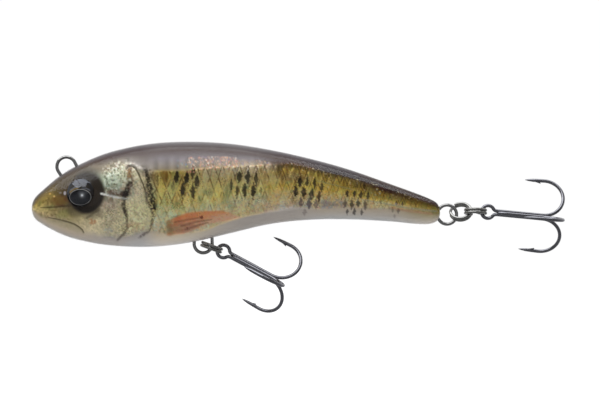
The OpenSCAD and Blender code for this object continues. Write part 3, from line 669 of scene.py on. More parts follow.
def paint_scales(coat):
    """Diamond lattice of scales: tints, dark lines, light rims, brown cores and relief."""
    x, z, level, foil = coat.x, coat.z, coat.level, coat.foil
    phase = coat.phase + coat.drift(size=4.0, seed=8) * 0.06
    row = (smooth_interp(x, SCALE_ROW_Z) - z) / np.interp(x, *SCALE_ROW_PITCH.T)
    a, b = phase + row / 2, phase - row / 2
    cell_a, cell_b = np.round(a), np.round(b)
    # 0 at the middle of a scale, 0.5 on the lattice lines
    edge = np.maximum(np.abs(a - cell_a), np.abs(b - cell_b))
    line = ramp(0.385, 0.475, edge)

    value, warmth, green, core_random = (cell_random(cell_a, cell_b, seed) - offset
                                         for seed, offset in ((11, 0.5), (12, 0.5), (13, 0.5),
                                                              (16, 0)))
    tint = np.stack([1 + warmth * 0.16, 1 + green * 0.10, 1 - warmth * 0.26], 1)
    coat.lay(foil, coat.colour * (1 + value * 0.26)[:, None] * tint)

    line_strength = foil * (0.45 + 0.55 * (1 - ramp(2.35, 2.9, level)))
    line_mottle = 0.16 + 0.62 * coat.mottle(0.3, 0.75, 1.3, 14)
    coat.shade(-line * line_strength * line_mottle, channels=(0.85, 0.95, 1.0))
    rim = window(edge, 0.24, 0.31, 0.33, 0.40) * foil
    coat.shade(rim * 0.16 * coat.noise(size=1.3, seed=15))
    coat.relief += foil * (0.055 * (1 - (edge / 0.5) ** 2) - 0.03 * line)

    along = np.abs((a + b) / 2 - (cell_a + cell_b) / 2)
    up = np.abs((a - b) - (cell_a - cell_b))
    core = (1 - ramp(0.10, 0.26, along + 0.10 * up)) * (1 - ramp(0.35, 0.75, up))
    core *= foil * np.clip(core_random * 1.5 - 0.55, 0, 1) * (1 - ramp(2.45, 2.8, level))
    coat.shade(-core * 0.55, channels=(0.85, 0.95, 1.12))


def paint_glitter(coat):
    """Fine grain of the foil, with sparks, and specks low on the flank."""
    x, level = coat.x, coat.level
    value = coat.noise(size=0.34, seed=21)
    warmth = coat.noise(size=0.52, seed=22)
    green = coat.drift(size=0.40, seed=23)
    grain = coat.flash * (0.5 + 0.5 * ramp(2.2, 2.7, level))
    coat.shade(grain * (value - 0.5) * 0.42)
    grain = grain * (1 - 0.75 * (1 - coat.behind_head))
    warm = warmth - 0.5
    hue = np.stack([1 + warm * 0.30, 1 + green * 0.16, 1 - warm * 0.34 + green * 0.2], 1)
    coat.lay(grain, coat.colour * hue)
    coat.lay(ramp(0.80, 0.95, warmth * 0.55 + value * 0.55) * coat.flash, "d9cfa6", 0.55)
    low = window(level, 2.5, 2.85, 3.0, 3.12) * window(x, 37.7, 42.1, 113.99, 118.68)
    coat.lay(low, "d2c08f", 0.55, mottle=(0.62, 0.82, 0.45, 25))
    coat.lay(low, "c89a86", 0.45, mottle=(0.66, 0.85, 0.6, 26))
    greenish = coat.foil * window(level, 2.2, 2.4, 2.7, 2.9) * ramp(37.7, 40.64, x)
    strength = 0.38 * (1 - ramp(61.17, 87.58, x)) + 0.1
    coat.lay(greenish, "6f8a5c", strength, mottle=(0.60, 0.85, 1.5, 27))


def paint_zones(coat):
    """Ochre behind the gill, copper where the tail foil starts, gold and blue further back."""
    coat.patches(OCHRE_PATCHES, within=coat.foil)
    coat.patches(COPPER_PATCHES, within=coat.level > 1.6)
    gold = coat.blob(90.51, 4.84, 4.11, 2.05, 0.7) + coat.blob(101.96, 3.37, 2.35, 1.17, 0.6)
    coat.lay(np.clip(gold, 0, 1) * coat.foil, "b48a2c", 0.42, mottle=(0.35, 0.65, 0.52, 22))
    coat.patches(BLUE_PATCHES)


def paint_mark(coat, x, z, half_x, half_z, strength, colour=MARK_COLOUR):
    """A leaning diamond with a ragged edge."""
    half_x, half_z = half_x * MARK_WIDEN, half_z * MARK_HEIGHTEN
    near = ((np.abs(coat.x - x) < half_x * 2.2 + 0.4)
            & (np.abs(coat.z - z) < half_z * 1.8 + 0.4))
    xs, zs = coat.x[near], coat.z[near]
    dz = (zs - z) / half_z
    dx = (xs - x - 0.10 * half_x * dz) / (half_x * (1 - 0.18 * dz))
    ragged = (noise(xs, zs, size=0.38, seed=31) - 0.5) * 0.75
    d = np.abs(dx) ** 1.12 + np.abs(dz) ** 1.10 + ragged
    mask = (1 - ramp(0.70, 1.12, d)) * strength
    mask *= 0.90 + 0.10 * noise(xs, zs, size=0.3, seed=32)
    coat.colour[near] = mix(coat.colour[near], mask, colour)
    coat.rough[near] *= 1 - 0.3 * mask


def scatter_flakes():
    """x, z, radius, strength and colour of each flake."""
    draw = np.random.RandomState(FLAKE_SEED)
    flakes = []
    for x0, x1, level0, level1, count, r0, r1, k0, k1, colours in FLAKE_BANDS:
        colours = colours.split()
        x = x0 + (x1 - x0) * draw.rand(count)
        back, foil, belly = borders(x)
        level = level0 + (level1 - level0) * draw.rand(count)
        z = np.where(level < 2, back + (foil - back) * (level - 1),
                     foil + (belly - foil) * (level - 2))
        radius = r0 + (r1 - r0) * draw.rand(count) ** 1.5
        strength = k0 + (k1 - k0) * draw.rand(count)
        chosen = [colours[i] for i in draw.randint(0, len(colours), count)]
        flakes += zip(x, z, radius, strength, chosen)
    return flakes


def paint_flake(coat, x, z, radius, strength, colour):
    near = (np.abs(coat.x - x) < radius * 2) & (np.abs(coat.z - z) < radius * 2)
    xs, zs = coat.x[near], coat.z[near]
    squeeze = 1 + 0.4 * noise(xs, zs, size=0.4, seed=33)
    d = np.hypot((xs - x) * squeeze, zs - z) / radius
    coat.colour[near] = mix(coat.colour[near], 1 - ramp(0.45, 1.0, d), colour, strength)


def paint_cheek(coat):
    """Crinkled silver cheek, painted with the crinkle's highlights and shade, strongest in its
    upper part, over a faint real relief.
    """
    x, z = coat.x, coat.z
    cheek = inside_polygon(x, z, CHEEK_CORNERS, softness=1.1)
    crinkle = coat.noise(size=0.42, seed=41, up=0.8) - coat.noise(size=0.46, seed=42, along=0.8)
    slanted = noise(x + z * 0.6, z - x * 0.4, size=0.36, seed=43) - 0.5
    crinkle_light_zone = cheek * coat.blob(24.21, 8.95, 6.75, 6.45, 0.6)
    # painted highlights and painted shade of the crinkled foil, following the crinkle noise
    coat.shade(crinkle_light_zone * (crinkle + slanted) * 0.55
               + (cheek - crinkle_light_zone) * (crinkle * 0.44 + slanted * 0.36))
    # pale painted highlights on the crinkle, dark painted shade in its hollows
    coat.lay(crinkle_light_zone * ramp(0.18, 0.42, crinkle + slanted * 0.6), "e2e9d8", 0.62)
    coat.lay(crinkle_light_zone * ramp(0.14, 0.40, -crinkle - slanted * 0.5), "5c5f42", 0.50)
    coat.patches(CHEEK_PATCHES, within=cheek)
    coat.patches(LOW_CHEEK_PATCHES)
    coat.relief += cheek * (crinkle * 0.05 + slanted * 0.04)


def paint_snout(coat):
    """Gold and olive mottle with gold dots, two of them painted highlights."""
    snout = (1 - ramp(10.12, 13.06, coat.x)) * window(coat.level, 2.0, 2.25, 2.75, 3.05)
    coarse, fine_grain = coat.drift(size=0.7, seed=51), coat.drift(size=0.4, seed=52, up=0.5)
    coat.shade(snout * (coarse + fine_grain) * 0.42)
    coat.lay(snout, "5a4320", 0.45, mottle=(0.62, 0.82, 0.5, 54))
    coat.lay(snout, "7e8448", 0.4, mottle=(0.5, 0.8, 1.3, 53))
    coat.patches(SNOUT_PATCHES)
    for x, z, radius, colour in SNOUT_SPECKS_AND_GLINTS:
        coat.lay(1 - ramp(0.3, 1.0, np.hypot(coat.x - x, coat.z - z) / radius), colour, 0.85)


def paint_socket(coat):
    """Dark socket with a shallow ring pressed round the eye."""
    coat.patches(SOCKET_PATCHES)
    from_ring = np.abs(np.hypot((coat.x - 15.4) / 4.17, (coat.z - 4.25) / 4.58) - 1)
    coat.relief -= 0.06 * (1 - ramp(0, 0.12, from_ring))


def paint_fin(coat):
    """Orange pectoral fin with rays."""
    x, z = coat.x, coat.z
    fin = inside_polygon(x, z, FIN_CORNERS, softness=0.42)
    t = np.clip((x - FIN_ROOT_X) / (FIN_TIP_X - FIN_ROOT_X), 0, 1)
    rise = FIN_TIP_Z - FIN_ROOT_Z
    across = (z - (FIN_ROOT_Z + rise * t)) / rise
    ray = noise(x * 0.35 - z * 0.9, z * 2.2 + x * 0.55, size=0.55, seed=71) - 0.5
    upper = mix(linear("f87848"), t, "fc9460")
    lower = mix(linear("c08c6c"), t, "ecb494")
    colour = mix(lower, ramp(0.30, 0.78, across + t * 0.22 + ray * 0.32), upper)
    colour = np.clip(colour * (1.32 + ray * 0.34)[:, None], 0, 0.98)
    root = 1 - ramp(FIN_ROOT_X, 45.33, x)
    colour = colour * (1 - (root * 0.35)[:, None] * np.array([0.6, 0.45, 0.9]))
    coat.lay(fin * (0.90 - 0.45 * (1 - ramp(FIN_ROOT_X, 42.98, x))), colour)
    coat.lay(fin, "f49c70", 0.4, mottle=(0.62, 0.8, 0.42, 72, 0.35))
    coat.patches(FIN_SPOT_PATCHES)
    coat.lines(FIN_RAY_LINES)
    coat.patches(FIN_SHADE_PATCHES, within=fin)
    coat.lines(FIN_ROOT_LINES)
    coat.relief += 0.05 * fin


def paint_body(x, z):
    """Colour, metal share, roughness and relief (mm) at side-view places x, z."""
    coat = BodyPrint(x, z)
    paint_back(coat)
    paint_scales(coat)
    paint_glitter(coat)
    paint_zones(coat)
    for mark in MARKS:
        paint_mark(coat, *mark)
    for flake in scatter_flakes():
        paint_flake(coat, *flake)
    coat.lines(LATERAL_LINES)
    paint_cheek(coat)
    paint_snout(coat)
    paint_socket(coat)
    coat.lines(MOUTH_LINES)
    coat.lines(GILL_FRONT_LINES)
    coat.patches(GILL_PATCHES)
    coat.lines(GILL_REAR_LINES)
    # painted highlight streak and painted glints beside the eye
    coat.lines(HIGHLIGHT_STREAK_LINES)
    coat.patches(GLINT_PATCHES)
    paint_fin(coat)
    for points, width, softness, depth in GROOVES:
        coat.relief -= depth * stroke(x, z, points, width, softness)
    # step at the upper edge of the foil
    below = 1 - ramp(coat.foil_top - 0.15, coat.foil_top + 0.15, z)
    coat.relief += 0.03 * below * coat.behind_head
    metal = np.clip(coat.flash * 0.42 + coat.foil * 0.12, 0, 0.55)
    rough = np.clip(coat.rough - 0.10 * coat.flash, 0.12, 0.7)
    return np.clip(coat.colour, 0.003, 0.98), metal, rough, coat.relief


# ------------------------------------------------------------------ materials
class Nodes:
    """Builds a node tree; inputs are given by socket name or number, as values or links."""

    def __init__(self, tree):
        self.tree = tree
        tree.nodes.clear()

    def add(self, kind, inputs=None, **settings):
        node = self.tree.nodes.new("ShaderNode" + kind)
        for key, value in settings.items():
            setattr(node, key, value)
        for key, value in (inputs or {}).items():
            if isinstance(value, bpy.types.NodeSocket):
                self.tree.links.new(value, node.inputs[key])
            else:
                node.inputs[key].default_value = value
        return node

    def math(self, operation, *values, clamp=False):
        inputs = dict(enumerate(values))
        return self.add("Math", inputs, operation=operation, use_clamp=clamp).outputs[0]

    def place(self):
        return self.add("TexCoord").outputs["Object"]

    def noise(self, place, scale, detail, roughness):
        return self.add("TexNoise", {"Vector": place, "Scale": scale, "Detail": detail,
                                     "Roughness": roughness}).outputs["Fac"]

    def attribute(self, name, output="Fac"):
        return self.add("Attribute", attribute_name=name).outputs[output]

    def bump(self, height, strength, distance):
        return self.add("Bump", {"Height": height, "Strength": strength,
                                 "Distance": distance}).outputs["Normal"]

    def colour_ramp(self, factor, low, high, start=0.0, end=1.0):
        node = self.add("ValToRGB", {"Fac": factor})
        for element, colour, position in zip(node.color_ramp.elements, (low, high),
                                             (start, end)):
            element.position = position
            element.color = (*colour, 1)
        return node.outputs["Color"]


def new_material(name):
    material = bpy.data.materials.new(name)
    material.use_nodes = True
    return material, Nodes(material.node_tree)


def foil_material():
    material, nodes = new_material("printed_foil")
    place = nodes.place()
    # paint holds the body print together with its painted reflection, painted highlights and
    # painted shade
    paint = nodes.attribute("paint", "Color")
    metal = nodes.attribute("metal")
    rough = nodes.attribute("rough")
    # fine drift in the print's brightness
    drift = nodes.noise(place, scale=900.0, detail=4.0, roughness=0.6)
    print_colour = nodes.add("HueSaturation", {
        "Color": paint, "Value": nodes.math("MULTIPLY_ADD", drift, 0.16, 0.92)})
    # coloured glitter in the metal parts
    cells = nodes.add("TexVoronoi", {"Vector": place, "Scale": 3200.0})
    glitter = nodes.add("HueSaturation", {
        "Color": cells.outputs["Color"], "Saturation": 0.45, "Value": 1.25})
    glittered = nodes.add("Mix", data_type="RGBA", blend_type="OVERLAY", inputs={
        "Factor": nodes.math("MULTIPLY", metal, 0.30),
        6: print_colour.outputs["Color"], 7: glitter.outputs["Color"]})
    grain = nodes.noise(place, scale=2500.0, detail=2.0, roughness=0.5)
    grain_rough = nodes.math("MULTIPLY", nodes.math("SUBTRACT", grain, 0.5), 0.22)
    surface = nodes.add("BsdfPrincipled", {
        "Base Color": glittered.outputs[2],
        "Metallic": metal,
        "Roughness": nodes.math("ADD", rough, grain_rough, clamp=True),
        "Normal": nodes.bump(nodes.math("MULTIPLY", grain, nodes.math("ADD", metal, 0.15)),
                             strength=0.35, distance=0.00008),
        "Specular IOR Level": 0.2})
    nodes.add("OutputMaterial", {0: surface.outputs[0]})
    return material


def clear_plastic(name, ior, rough, tint, ripple, sheen=(1, 1, 1)):
    """Tinted clear skin that mirrors on its outer face only, with a faintly uneven polish."""
    material, nodes = new_material(name)
    place = nodes.place()
    broad = nodes.noise(place, scale=160.0, detail=2.0, roughness=0.5)
    fine_noise = nodes.noise(place, scale=1800.0, detail=3.0, roughness=0.6)
    faint = [channel * 0.985 for channel in tint]
    clear = nodes.add("BsdfTransparent", {"Color": nodes.colour_ramp(broad, faint, tint)})
    normal = nodes.bump(broad, strength=ripple, distance=0.0002)
    polish = nodes.math("ADD", nodes.math("MULTIPLY", fine_noise, rough * 0.6), rough * 0.7)
    gloss = nodes.add("BsdfGlossy", {
        "Color": (*sheen, 1), "Roughness": polish, "Normal": normal})
    fresnel = nodes.add("Fresnel", {"IOR": ior, "Normal": normal})
    geometry = nodes.add("NewGeometry")
    front = nodes.math("SUBTRACT", 1.0, geometry.outputs["Backfacing"])
    surface = nodes.add("MixShader", {
        0: nodes.math("MULTIPLY", fresnel.outputs[0], front),
        1: clear.outputs[0], 2: gloss.outputs[0]})
    nodes.add("OutputMaterial", {0: surface.outputs[0]})
    return material


def finish_material(name, base, dark, rough, scale, bump, metallic=1.0):
    """A finish drifting between two colours."""
    material, nodes = new_material(name)
    place = nodes.place()
    broad = nodes.noise(place, scale=scale * 0.35, detail=3.0, roughness=0.6)
    fine_noise = nodes.noise(place, scale=scale, detail=4.0, roughness=0.6)
    polish = nodes.math("MULTIPLY", fine_noise, rough * 0.16)
    surface = nodes.add("BsdfPrincipled", {
        "Base Color": nodes.colour_ramp(broad, dark, base, start=0.32, end=0.68),
        "Metallic": metallic,
        "Roughness": nodes.math("ADD", polish, rough * 0.92),
        "Normal": nodes.bump(fine_noise, strength=bump, distance=0.00003)})
    nodes.add("OutputMaterial", {0: surface.outputs[0]})
    return material


def eye_material(rough=0.40, specular=0.04):
    material, nodes = new_material("eye_print")
    place = nodes.place()
    # paint holds the eye's print together with its painted reflection and painted glint
    paint = nodes.attribute("paint", "Color")
    metal = nodes.attribute("metal")
    grain = nodes.noise(place, scale=2600.0, detail=3.0, roughness=0.6)
    value = nodes.math("ADD", nodes.math("MULTIPLY", grain, 0.14), 0.93)
    colour = nodes.add("HueSaturation", {"Color": paint, "Value": value})
    surface = nodes.add("BsdfPrincipled", {
        "Base Color": colour.outputs["Color"],
        "Metallic": metal,
        "Roughness": nodes.math("ADD", nodes.math("MULTIPLY", grain, 0.12), rough - 0.06),
        "Normal": nodes.bump(grain, strength=0.15, distance=0.00003),
        "Specular IOR Level": specular})
    nodes.add("OutputMaterial", {0: surface.outputs[0]})
    return material


FOIL_PRINT = foil_material()
CLEAR_SKIN = clear_plastic("clear_skin", ior=1.34, rough=0.14, tint=(0.99, 0.987, 0.98),
                           ripple=0.025)
CLEAR_DOME = clear_plastic("clear_dome", ior=1.85, rough=0.02, tint=(0.97, 0.97, 0.965),
                           ripple=0.02, sheen=(0.86, 0.90, 1.0))
EYE_PRINT = eye_material()
POLISHED = dict(rough=0.12, scale=1400.0, bump=0.002)
HANGER_FINISH = finish_material("hanger_wire_finish", base=(0.44, 0.435, 0.43),
                                dark=(0.38, 0.375, 0.37), **POLISHED)
RING_FINISH = finish_material("ring_finish", base=(0.42, 0.415, 0.40),
                              dark=(0.35, 0.345, 0.33), **POLISHED)
HOOK_FINISH = finish_material("hook_finish", base=(0.30, 0.30, 0.33),
                              dark=(0.255, 0.255, 0.28), **POLISHED)
BALLAST_FINISH = finish_material("ballast_finish", base=(0.30, 0.30, 0.31),
                                 dark=(0.16, 0.16, 0.17), rough=0.5, scale=700.0, bump=0.4)
BALL_FINISH = finish_material("ball_finish", base=(0.62, 0.62, 0.62), dark=(0.5, 0.5, 0.5),
                              rough=0.18, scale=900.0, bump=0.1)
RATTLE_FINISH = finish_material("rattle_finish", base=(0.66, 0.67, 0.68),
                                dark=(0.55, 0.56, 0.58), rough=0.35, scale=500.0, bump=0.2,
                                metallic=0.0)

# ------------------------------------------------------------------ body: liner and skin
LINER_INSET = 0.14
LINER_ROWS, LINER_COLUMNS, LINER_END_GAP = 600, 161, 0.004
SKIN_ROWS, SKIN_COLUMNS, SKIN_END_GAP = 260, 97, 0.002
SOCKET_CLEARANCE = 0.02
SEAM_WIDTH = 0.10                  # of the joint line where the two halves meet
SEAM_DARKEN, SEAM_DEPTH = 0.30, 0.05
RELIEF_LIMITS = (-0.26, 0.09)
FULL_RELIEF_HEIGHT = 6             # the relief flattens where the body is lower than this


def body_print():
    """Liner surface (x, half width, z), its girth angles, its relief and its attributes."""
    station, girth = flank_grid(LINER_ROWS, LINER_COLUMNS, LINER_END_GAP)
    x, y, z = (part.ravel() for part in skin_point(station, girth))
    colour, metal, rough, relief = paint_body(x, z)
    seam = np.exp(-(y / SEAM_WIDTH) ** 2)
    colour = colour * (1 - SEAM_DARKEN * seam[:, None])
    height = np.interp(x, OUTLINE_X, OUTLINE_TOP - OUTLINE_BOTTOM)
    relief = np.clip(relief, *RELIEF_LIMITS) - SEAM_DEPTH * seam
    relief = relief * np.minimum(1, height / FULL_RELIEF_HEIGHT)
    surface = skin_point(station, girth, LINER_INSET)
    return surface, girth.ravel(), relief, {"paint": colour, "metal": metal, "rough": rough}


def add_liner(side, side_name, surface, girth, relief, attributes):
    x, y, z = surface
    points = np.stack([x, side * y, z], 2)
    normals = grid_normals(points, side).reshape(-1, 3)
    points = points.reshape(-1, 3) + normals * relief[:, None]
    # the edges lie on the middle plane and nothing crosses it
    points[np.isin(girth, (0.0, 180.0)), 1] = 0.0
    points[:, 1] = side * np.maximum(side * points[:, 1], 0)
    faces = grid_faces(LINER_ROWS, LINER_COLUMNS)
    hole_radius = EYE_RADIUS + SOCKET_CLEARANCE
    vertices, faces, used, _ = open_eye(points, faces, side, hole_radius)
    add_mesh("foil_print_" + side_name, vertices, facing(vertices, faces, (0, side, 0)),
             "lure_body", "foil", FOIL_PRINT, "foil_insert_" + side_name,
             {key: values[used] for key, values in attributes.items()})


def add_skin(side, side_name):
    """Clear skin; returns the rim of its eye hole in the eye frame."""
    x, y, z = skin_point(*flank_grid(SKIN_ROWS, SKIN_COLUMNS, SKIN_END_GAP))
    points = np.stack([x, side * y, z], 2).reshape(-1, 3)
    faces = grid_faces(SKIN_ROWS, SKIN_COLUMNS)
    vertices, faces, _, rim = open_eye(points, faces, side, EYE_RADIUS)
    add_mesh("clear_skin_" + side_name, vertices, facing(vertices, faces, (0, side, 0)),
             "lure_body", "shell_paint", CLEAR_SKIN, "body_shell_" + side_name)
    return rim


liner = body_print()
eye_rims = {}
for side, side_name in SIDES:
    add_liner(side, side_name, *liner)
    eye_rims[side] = add_skin(side, side_name)

# ------------------------------------------------------------------ eyes
IRIS_COLUMNS, PUPIL_COLUMNS, DOME_COLUMNS = 120, 144, 128
IRIS_Z = -0.84
# bands above the pupil, gold and brown print and two grey bands of painted reflection: points,
# width, softness, colour, strength
IRIS_BANDS_AND_REFLECTIONS = [
    ([(-3.3, 0.1), (-2.2, 1.0), (-1.0, 1.3)], 0.16, 0.22, "a88a4e", 0.9),
    ([(-2.9, 0.0), (-1.9, 0.65), (-0.8, 0.95)], 0.16, 0.22, "5b4a26", 0.7),
    ([(-3.1, 0.75), (-2.0, 1.5), (-0.4, 1.75)], 0.16, 0.22, "8d8f93", 0.8),
    ([(0.4, 1.35), (1.6, 1.25), (2.7, 0.7)], 0.16, 0.22, "7c7f88", 0.6)]
PUPIL_CENTRE, PUPIL_HALF_LENGTH, PUPIL_HALF_HEIGHT = (0.02, -1.42), 3.22, 2.28
PUPIL_MAX_RADIUS = 3.9      # the pupil is held within this distance of the eye's centre
# rim bead of the pupil: share of its outline, height, colour, metal
PUPIL_RIM = [(1.04, -0.86, "0b0a0a", 0), (1.04, -0.74, "8a8884", 1), (1.025, -0.68, "b6b4b0", 1),
             (1.0, -0.665, "bcbab6", 1), (0.975, -0.69, "94928e", 1), (0.962, -0.76, "1a1716", 0)]
PUPIL_FLOOR_Z, PUPIL_CROWN = -0.76, 0.10
DOME_RADIUS, DOME_HEIGHT, DOME_BASE_Z = 4.0, 1.7, -0.27


def circle_angles(count):
    return np.linspace(0, 2 * np.pi, count, endpoint=False)


def polar_points(rows, angles):
    """Points in the eye frame from rows of radius and height."""
    points = []
    for radius, height in rows:
        height = np.broadcast_to(height, angles.shape)
        points.append(np.stack([radius * np.cos(angles), radius * np.sin(angles), height], 1))
    return np.concatenate(points)


def add_eye_part(name, points, columns, side, slot, material, replaced, attributes=None):
    centre, axes = eye_frame(side)
    vertices = points @ axes.T + centre
    faces = facing(vertices, ring_faces(len(points) // columns, columns), axes[:, 2])
    add_mesh(name, vertices, faces, "lure_body", slot, material, replaced, attributes)


def socket_top(rim, angles):
    """Height of the skin's eye hole at the given angles."""
    rim_angle = np.arctan2(rim[:, 1], rim[:, 0])
    order = np.argsort(rim_angle)
    rim_angle, rim_height = rim_angle[order], rim[:, 2][order]
    wrapped = (angles + np.pi) % (2 * np.pi) - np.pi
    around = np.concatenate([rim_angle - 2 * np.pi, rim_angle, rim_angle + 2 * np.pi])
    return np.interp(wrapped, around, np.tile(rim_height, 3))


def add_iris(side, side_name):
    """Socket wall, shelf and printed iris disc, with a painted reflection over its upper part."""
    angles = circle_angles(IRIS_COLUMNS)
    top = socket_top(eye_rims[side], angles)
    rows = [(EYE_RADIUS, top), (EYE_RADIUS - 0.03, np.minimum(top - 0.06, -0.30)),
            (EYE_RADIUS - 0.04, np.minimum(top - 0.3, -0.5)), (EYE_RADIUS - 0.06, IRIS_Z)]
    rows += [(r, IRIS_Z - 0.03 * math.cos(r)) for r in np.linspace(3.9, 0.02, 56)]
    points = polar_points(rows, angles)
    x, z = points[:, 0], points[:, 1] * -side
    iris = Print(x, z, linear("1c1613") * np.ones((len(points), 3)))
    # painted reflection: a lighter zone over the upper iris, as the softboxes mirrored in the
    # dome
    upper = iris.blob(-0.9, 1.0, 3.3, 2.0, 0.45)
    iris.lay(upper, "3a3428", 0.9)
    iris.lines(IRIS_BANDS_AND_REFLECTIONS)
    band = noise(x * 0.3 + z * 1.3, z * 2.2 - x * 0.7, size=0.55, seed=81)
    iris.shade((band - 0.5) * 0.4)
    iris.lay(ramp(3.5, 3.8, np.hypot(x, z)), "0d0b0a", 0.95)
    add_eye_part("eye_iris_" + side_name, points, IRIS_COLUMNS, side, "eye_silver", EYE_PRINT,
                 "eye_base_" + side_name, {"paint": iris.colour, "metal": upper * 0.3})


def add_pupil(side, side_name):
    """Raised black oval with a silver rim bead."""
    angles = circle_angles(PUPIL_COLUMNS)
    egg = 1 + 0.05 * np.cos(angles - 2.4)
    profile = PUPIL_RIM + [(share, PUPIL_FLOOR_Z + PUPIL_CROWN * (1 - share * share), "0b0a0b", 0)
                           for share in np.linspace(0.92, 0.01, 30)]
    points = []
    for share, height, _, _ in profile:
        x = PUPIL_CENTRE[0] + share * PUPIL_HALF_LENGTH * egg * np.cos(angles)
        z = PUPIL_CENTRE[1] + share * PUPIL_HALF_HEIGHT * egg * np.sin(angles)
        hold = np.minimum(1, PUPIL_MAX_RADIUS / np.maximum(np.hypot(x, z), 1e-6))
        points.append(np.stack([x * hold, z * -side * hold, np.full(len(x), height)], 1))
    points = np.concatenate(points)
    metal = np.repeat([float(row[3]) for row in profile], PUPIL_COLUMNS)
    colour = np.repeat([linear(row[2]) for row in profile], PUPIL_COLUMNS, axis=0)
    x, z = points[:, 0], points[:, 1] * -side
    pupil = Print(x, z, colour)
    pupil.shade(-metal * pupil.blob(0.1, -3.6, 2.6, 0.9, 0.6) * 0.55)
    pupil.lay(pupil.blob(-0.2, -1.4, 2.2, 1.5, 0.5) * (1 - metal) * 0.5, "26262a", 0.6)
    # painted glint: a bright core in a faint halo
    d = (x - 0.42) ** 2 + (z + 0.78) ** 2
    glint = np.exp(-d / 0.075) + 0.30 * np.exp(-d / 0.45)
    pupil.lay(np.clip(glint, 0, 1) * (1 - metal), "e8ecf0")
    add_eye_part("eye_pupil_rim_" + side_name, points, PUPIL_COLUMNS, side, "eye_black",
                 EYE_PRINT, "eye_pupil_" + side_name, {"paint": pupil.colour, "metal": metal})


def add_dome(side, side_name):
    sphere = (DOME_RADIUS ** 2 + DOME_HEIGHT ** 2) / (2 * DOME_HEIGHT)
    rows = [(DOME_RADIUS, -0.45), (DOME_RADIUS, -0.30)]
    for r in np.concatenate([[3.985, 3.95], np.linspace(3.88, 0.01, 44)]):
        rows.append((r, DOME_BASE_Z - (sphere - DOME_HEIGHT) + math.sqrt(sphere ** 2 - r * r)))
    points = polar_points(rows, circle_angles(DOME_COLUMNS))
    add_eye_part("eye_dome_" + side_name, points, DOME_COLUMNS, side, "eye_dome", CLEAR_DOME,
                 "eye_lens_" + side_name)


for side, side_name in SIDES:
    add_iris(side, side_name)
    add_pupil(side, side_name)
    add_dome(side, side_name)


# ------------------------------------------------------------------ wire helpers
def sweep(path, radii, sides):
    """Round wire along a path, closed at both ends."""
    path = np.asarray(path, float)
    keep = np.concatenate([[True], np.linalg.norm(np.diff(path, axis=0), axis=1) > 1e-5])
    path, radii = path[keep], radii[keep]
    tangents = np.gradient(path, axis=0)
    tangents /= np.linalg.norm(tangents, axis=1, keepdims=True)
    helper = np.array([0, 1, 0]) if abs(tangents[0, 1]) < 0.9 else np.array([1, 0, 0])
    across = unit(np.cross(tangents[0], helper))
    angles = (2 * np.pi * (np.arange(sides) + 0.5) / sides)[:, None]
    vertices = []
    for point, tangent, radius in zip(path, tangents, radii):
        across = unit(across - (across @ tangent) * tangent)
        other = np.cross(tangent, across)
        vertices.append(point + radius * (np.cos(angles) * across + np.sin(angles) * other))
    vertices = np.concatenate(vertices + [path[:1], path[-1:]])
    last = (len(path) - 1) * sides
    start_cap, end_cap = last + sides, last + sides + 1
    faces = []
    for i in range(0, last, sides):
        for j in range(sides):
            q = (j + 1) % sides
            faces.append((i + q, i + sides + q, i + sides + j, i + j))
    for j in range(sides):
        q = (j + 1) % sides
        faces.append((q, j, start_cap))
        faces.append((last + j, last + q, end_cap))
    return vertices, faces


def add_wire(name, path, diameter, sides, body, slot, material, replaced):
    """A wire of one diameter with slightly rounded ends."""
    radii = np.full(len(path), diameter / 2)
    radii[[0, -1]] *= 0.72
    radii[[1, -2]] *= 0.95
    add_mesh(name, *sweep(path, radii, sides), body, slot, material, replaced)


def loop_axes(outer, inner):
    """Distance from inner to outer, the direction along it, and the one across it."""
    distance = np.linalg.norm(outer - inner)
    along = (outer - inner) / distance
    return distance, along, np.array([along[2], 0, -along[0]])


def belt(outer, inner, outer_radius, inner_radius):
    """Wire round two circles like a belt, open at the inner end."""
    distance, along, across = loop_axes(outer, inner)
    slant = math.degrees(math.asin((outer_radius - inner_radius) / distance))

    def arc(centre, radius, start, end, count):
        a = np.radians(np.linspace(start, end, count))[:, None]
        return centre + radius * (np.cos(a) * along + np.sin(a) * across)

    return np.concatenate([arc(inner, inner_radius, -176, -90 - slant, 26),
                           arc(outer, outer_radius, -90 - slant, 90 + slant, 72),
                           arc(inner, inner_radius, 90 + slant, 176, 26)])


def waisted(outer, inner, outer_radius, inner_radius):
    """Wire round two circles, pinched to a waist between them and open at the inner end."""
    distance, along, across = loop_axes(outer, inner)

    def arc(radius, start, end, count):
        return [(radius * math.cos(a), radius * math.sin(a))
                for a in np.radians(np.linspace(start, end, count))]

    half = arc(outer_radius, 0, 140, 13)
    half += [(-outer_radius - 0.12, 0.9), (-outer_radius - 0.62, 0.64),
             (-outer_radius - 1.15, 0.62)]
    half += [(x - distance, y) for x, y in arc(inner_radius, 42, 176, 9)]
    outline = [(x, -y) for x, y in half[:0:-1]] + half
    points = np.array([outer + x * along + y * across for x, y in outline])
    padded = np.concatenate([points[:1], points, points[-1:]])
    path = [catmull_rom(*padded[i:i + 4], t)
            for i in range(len(points) - 1) for t in (0, 0.25, 0.5, 0.75)]
    return np.array(path + [points[-1]])


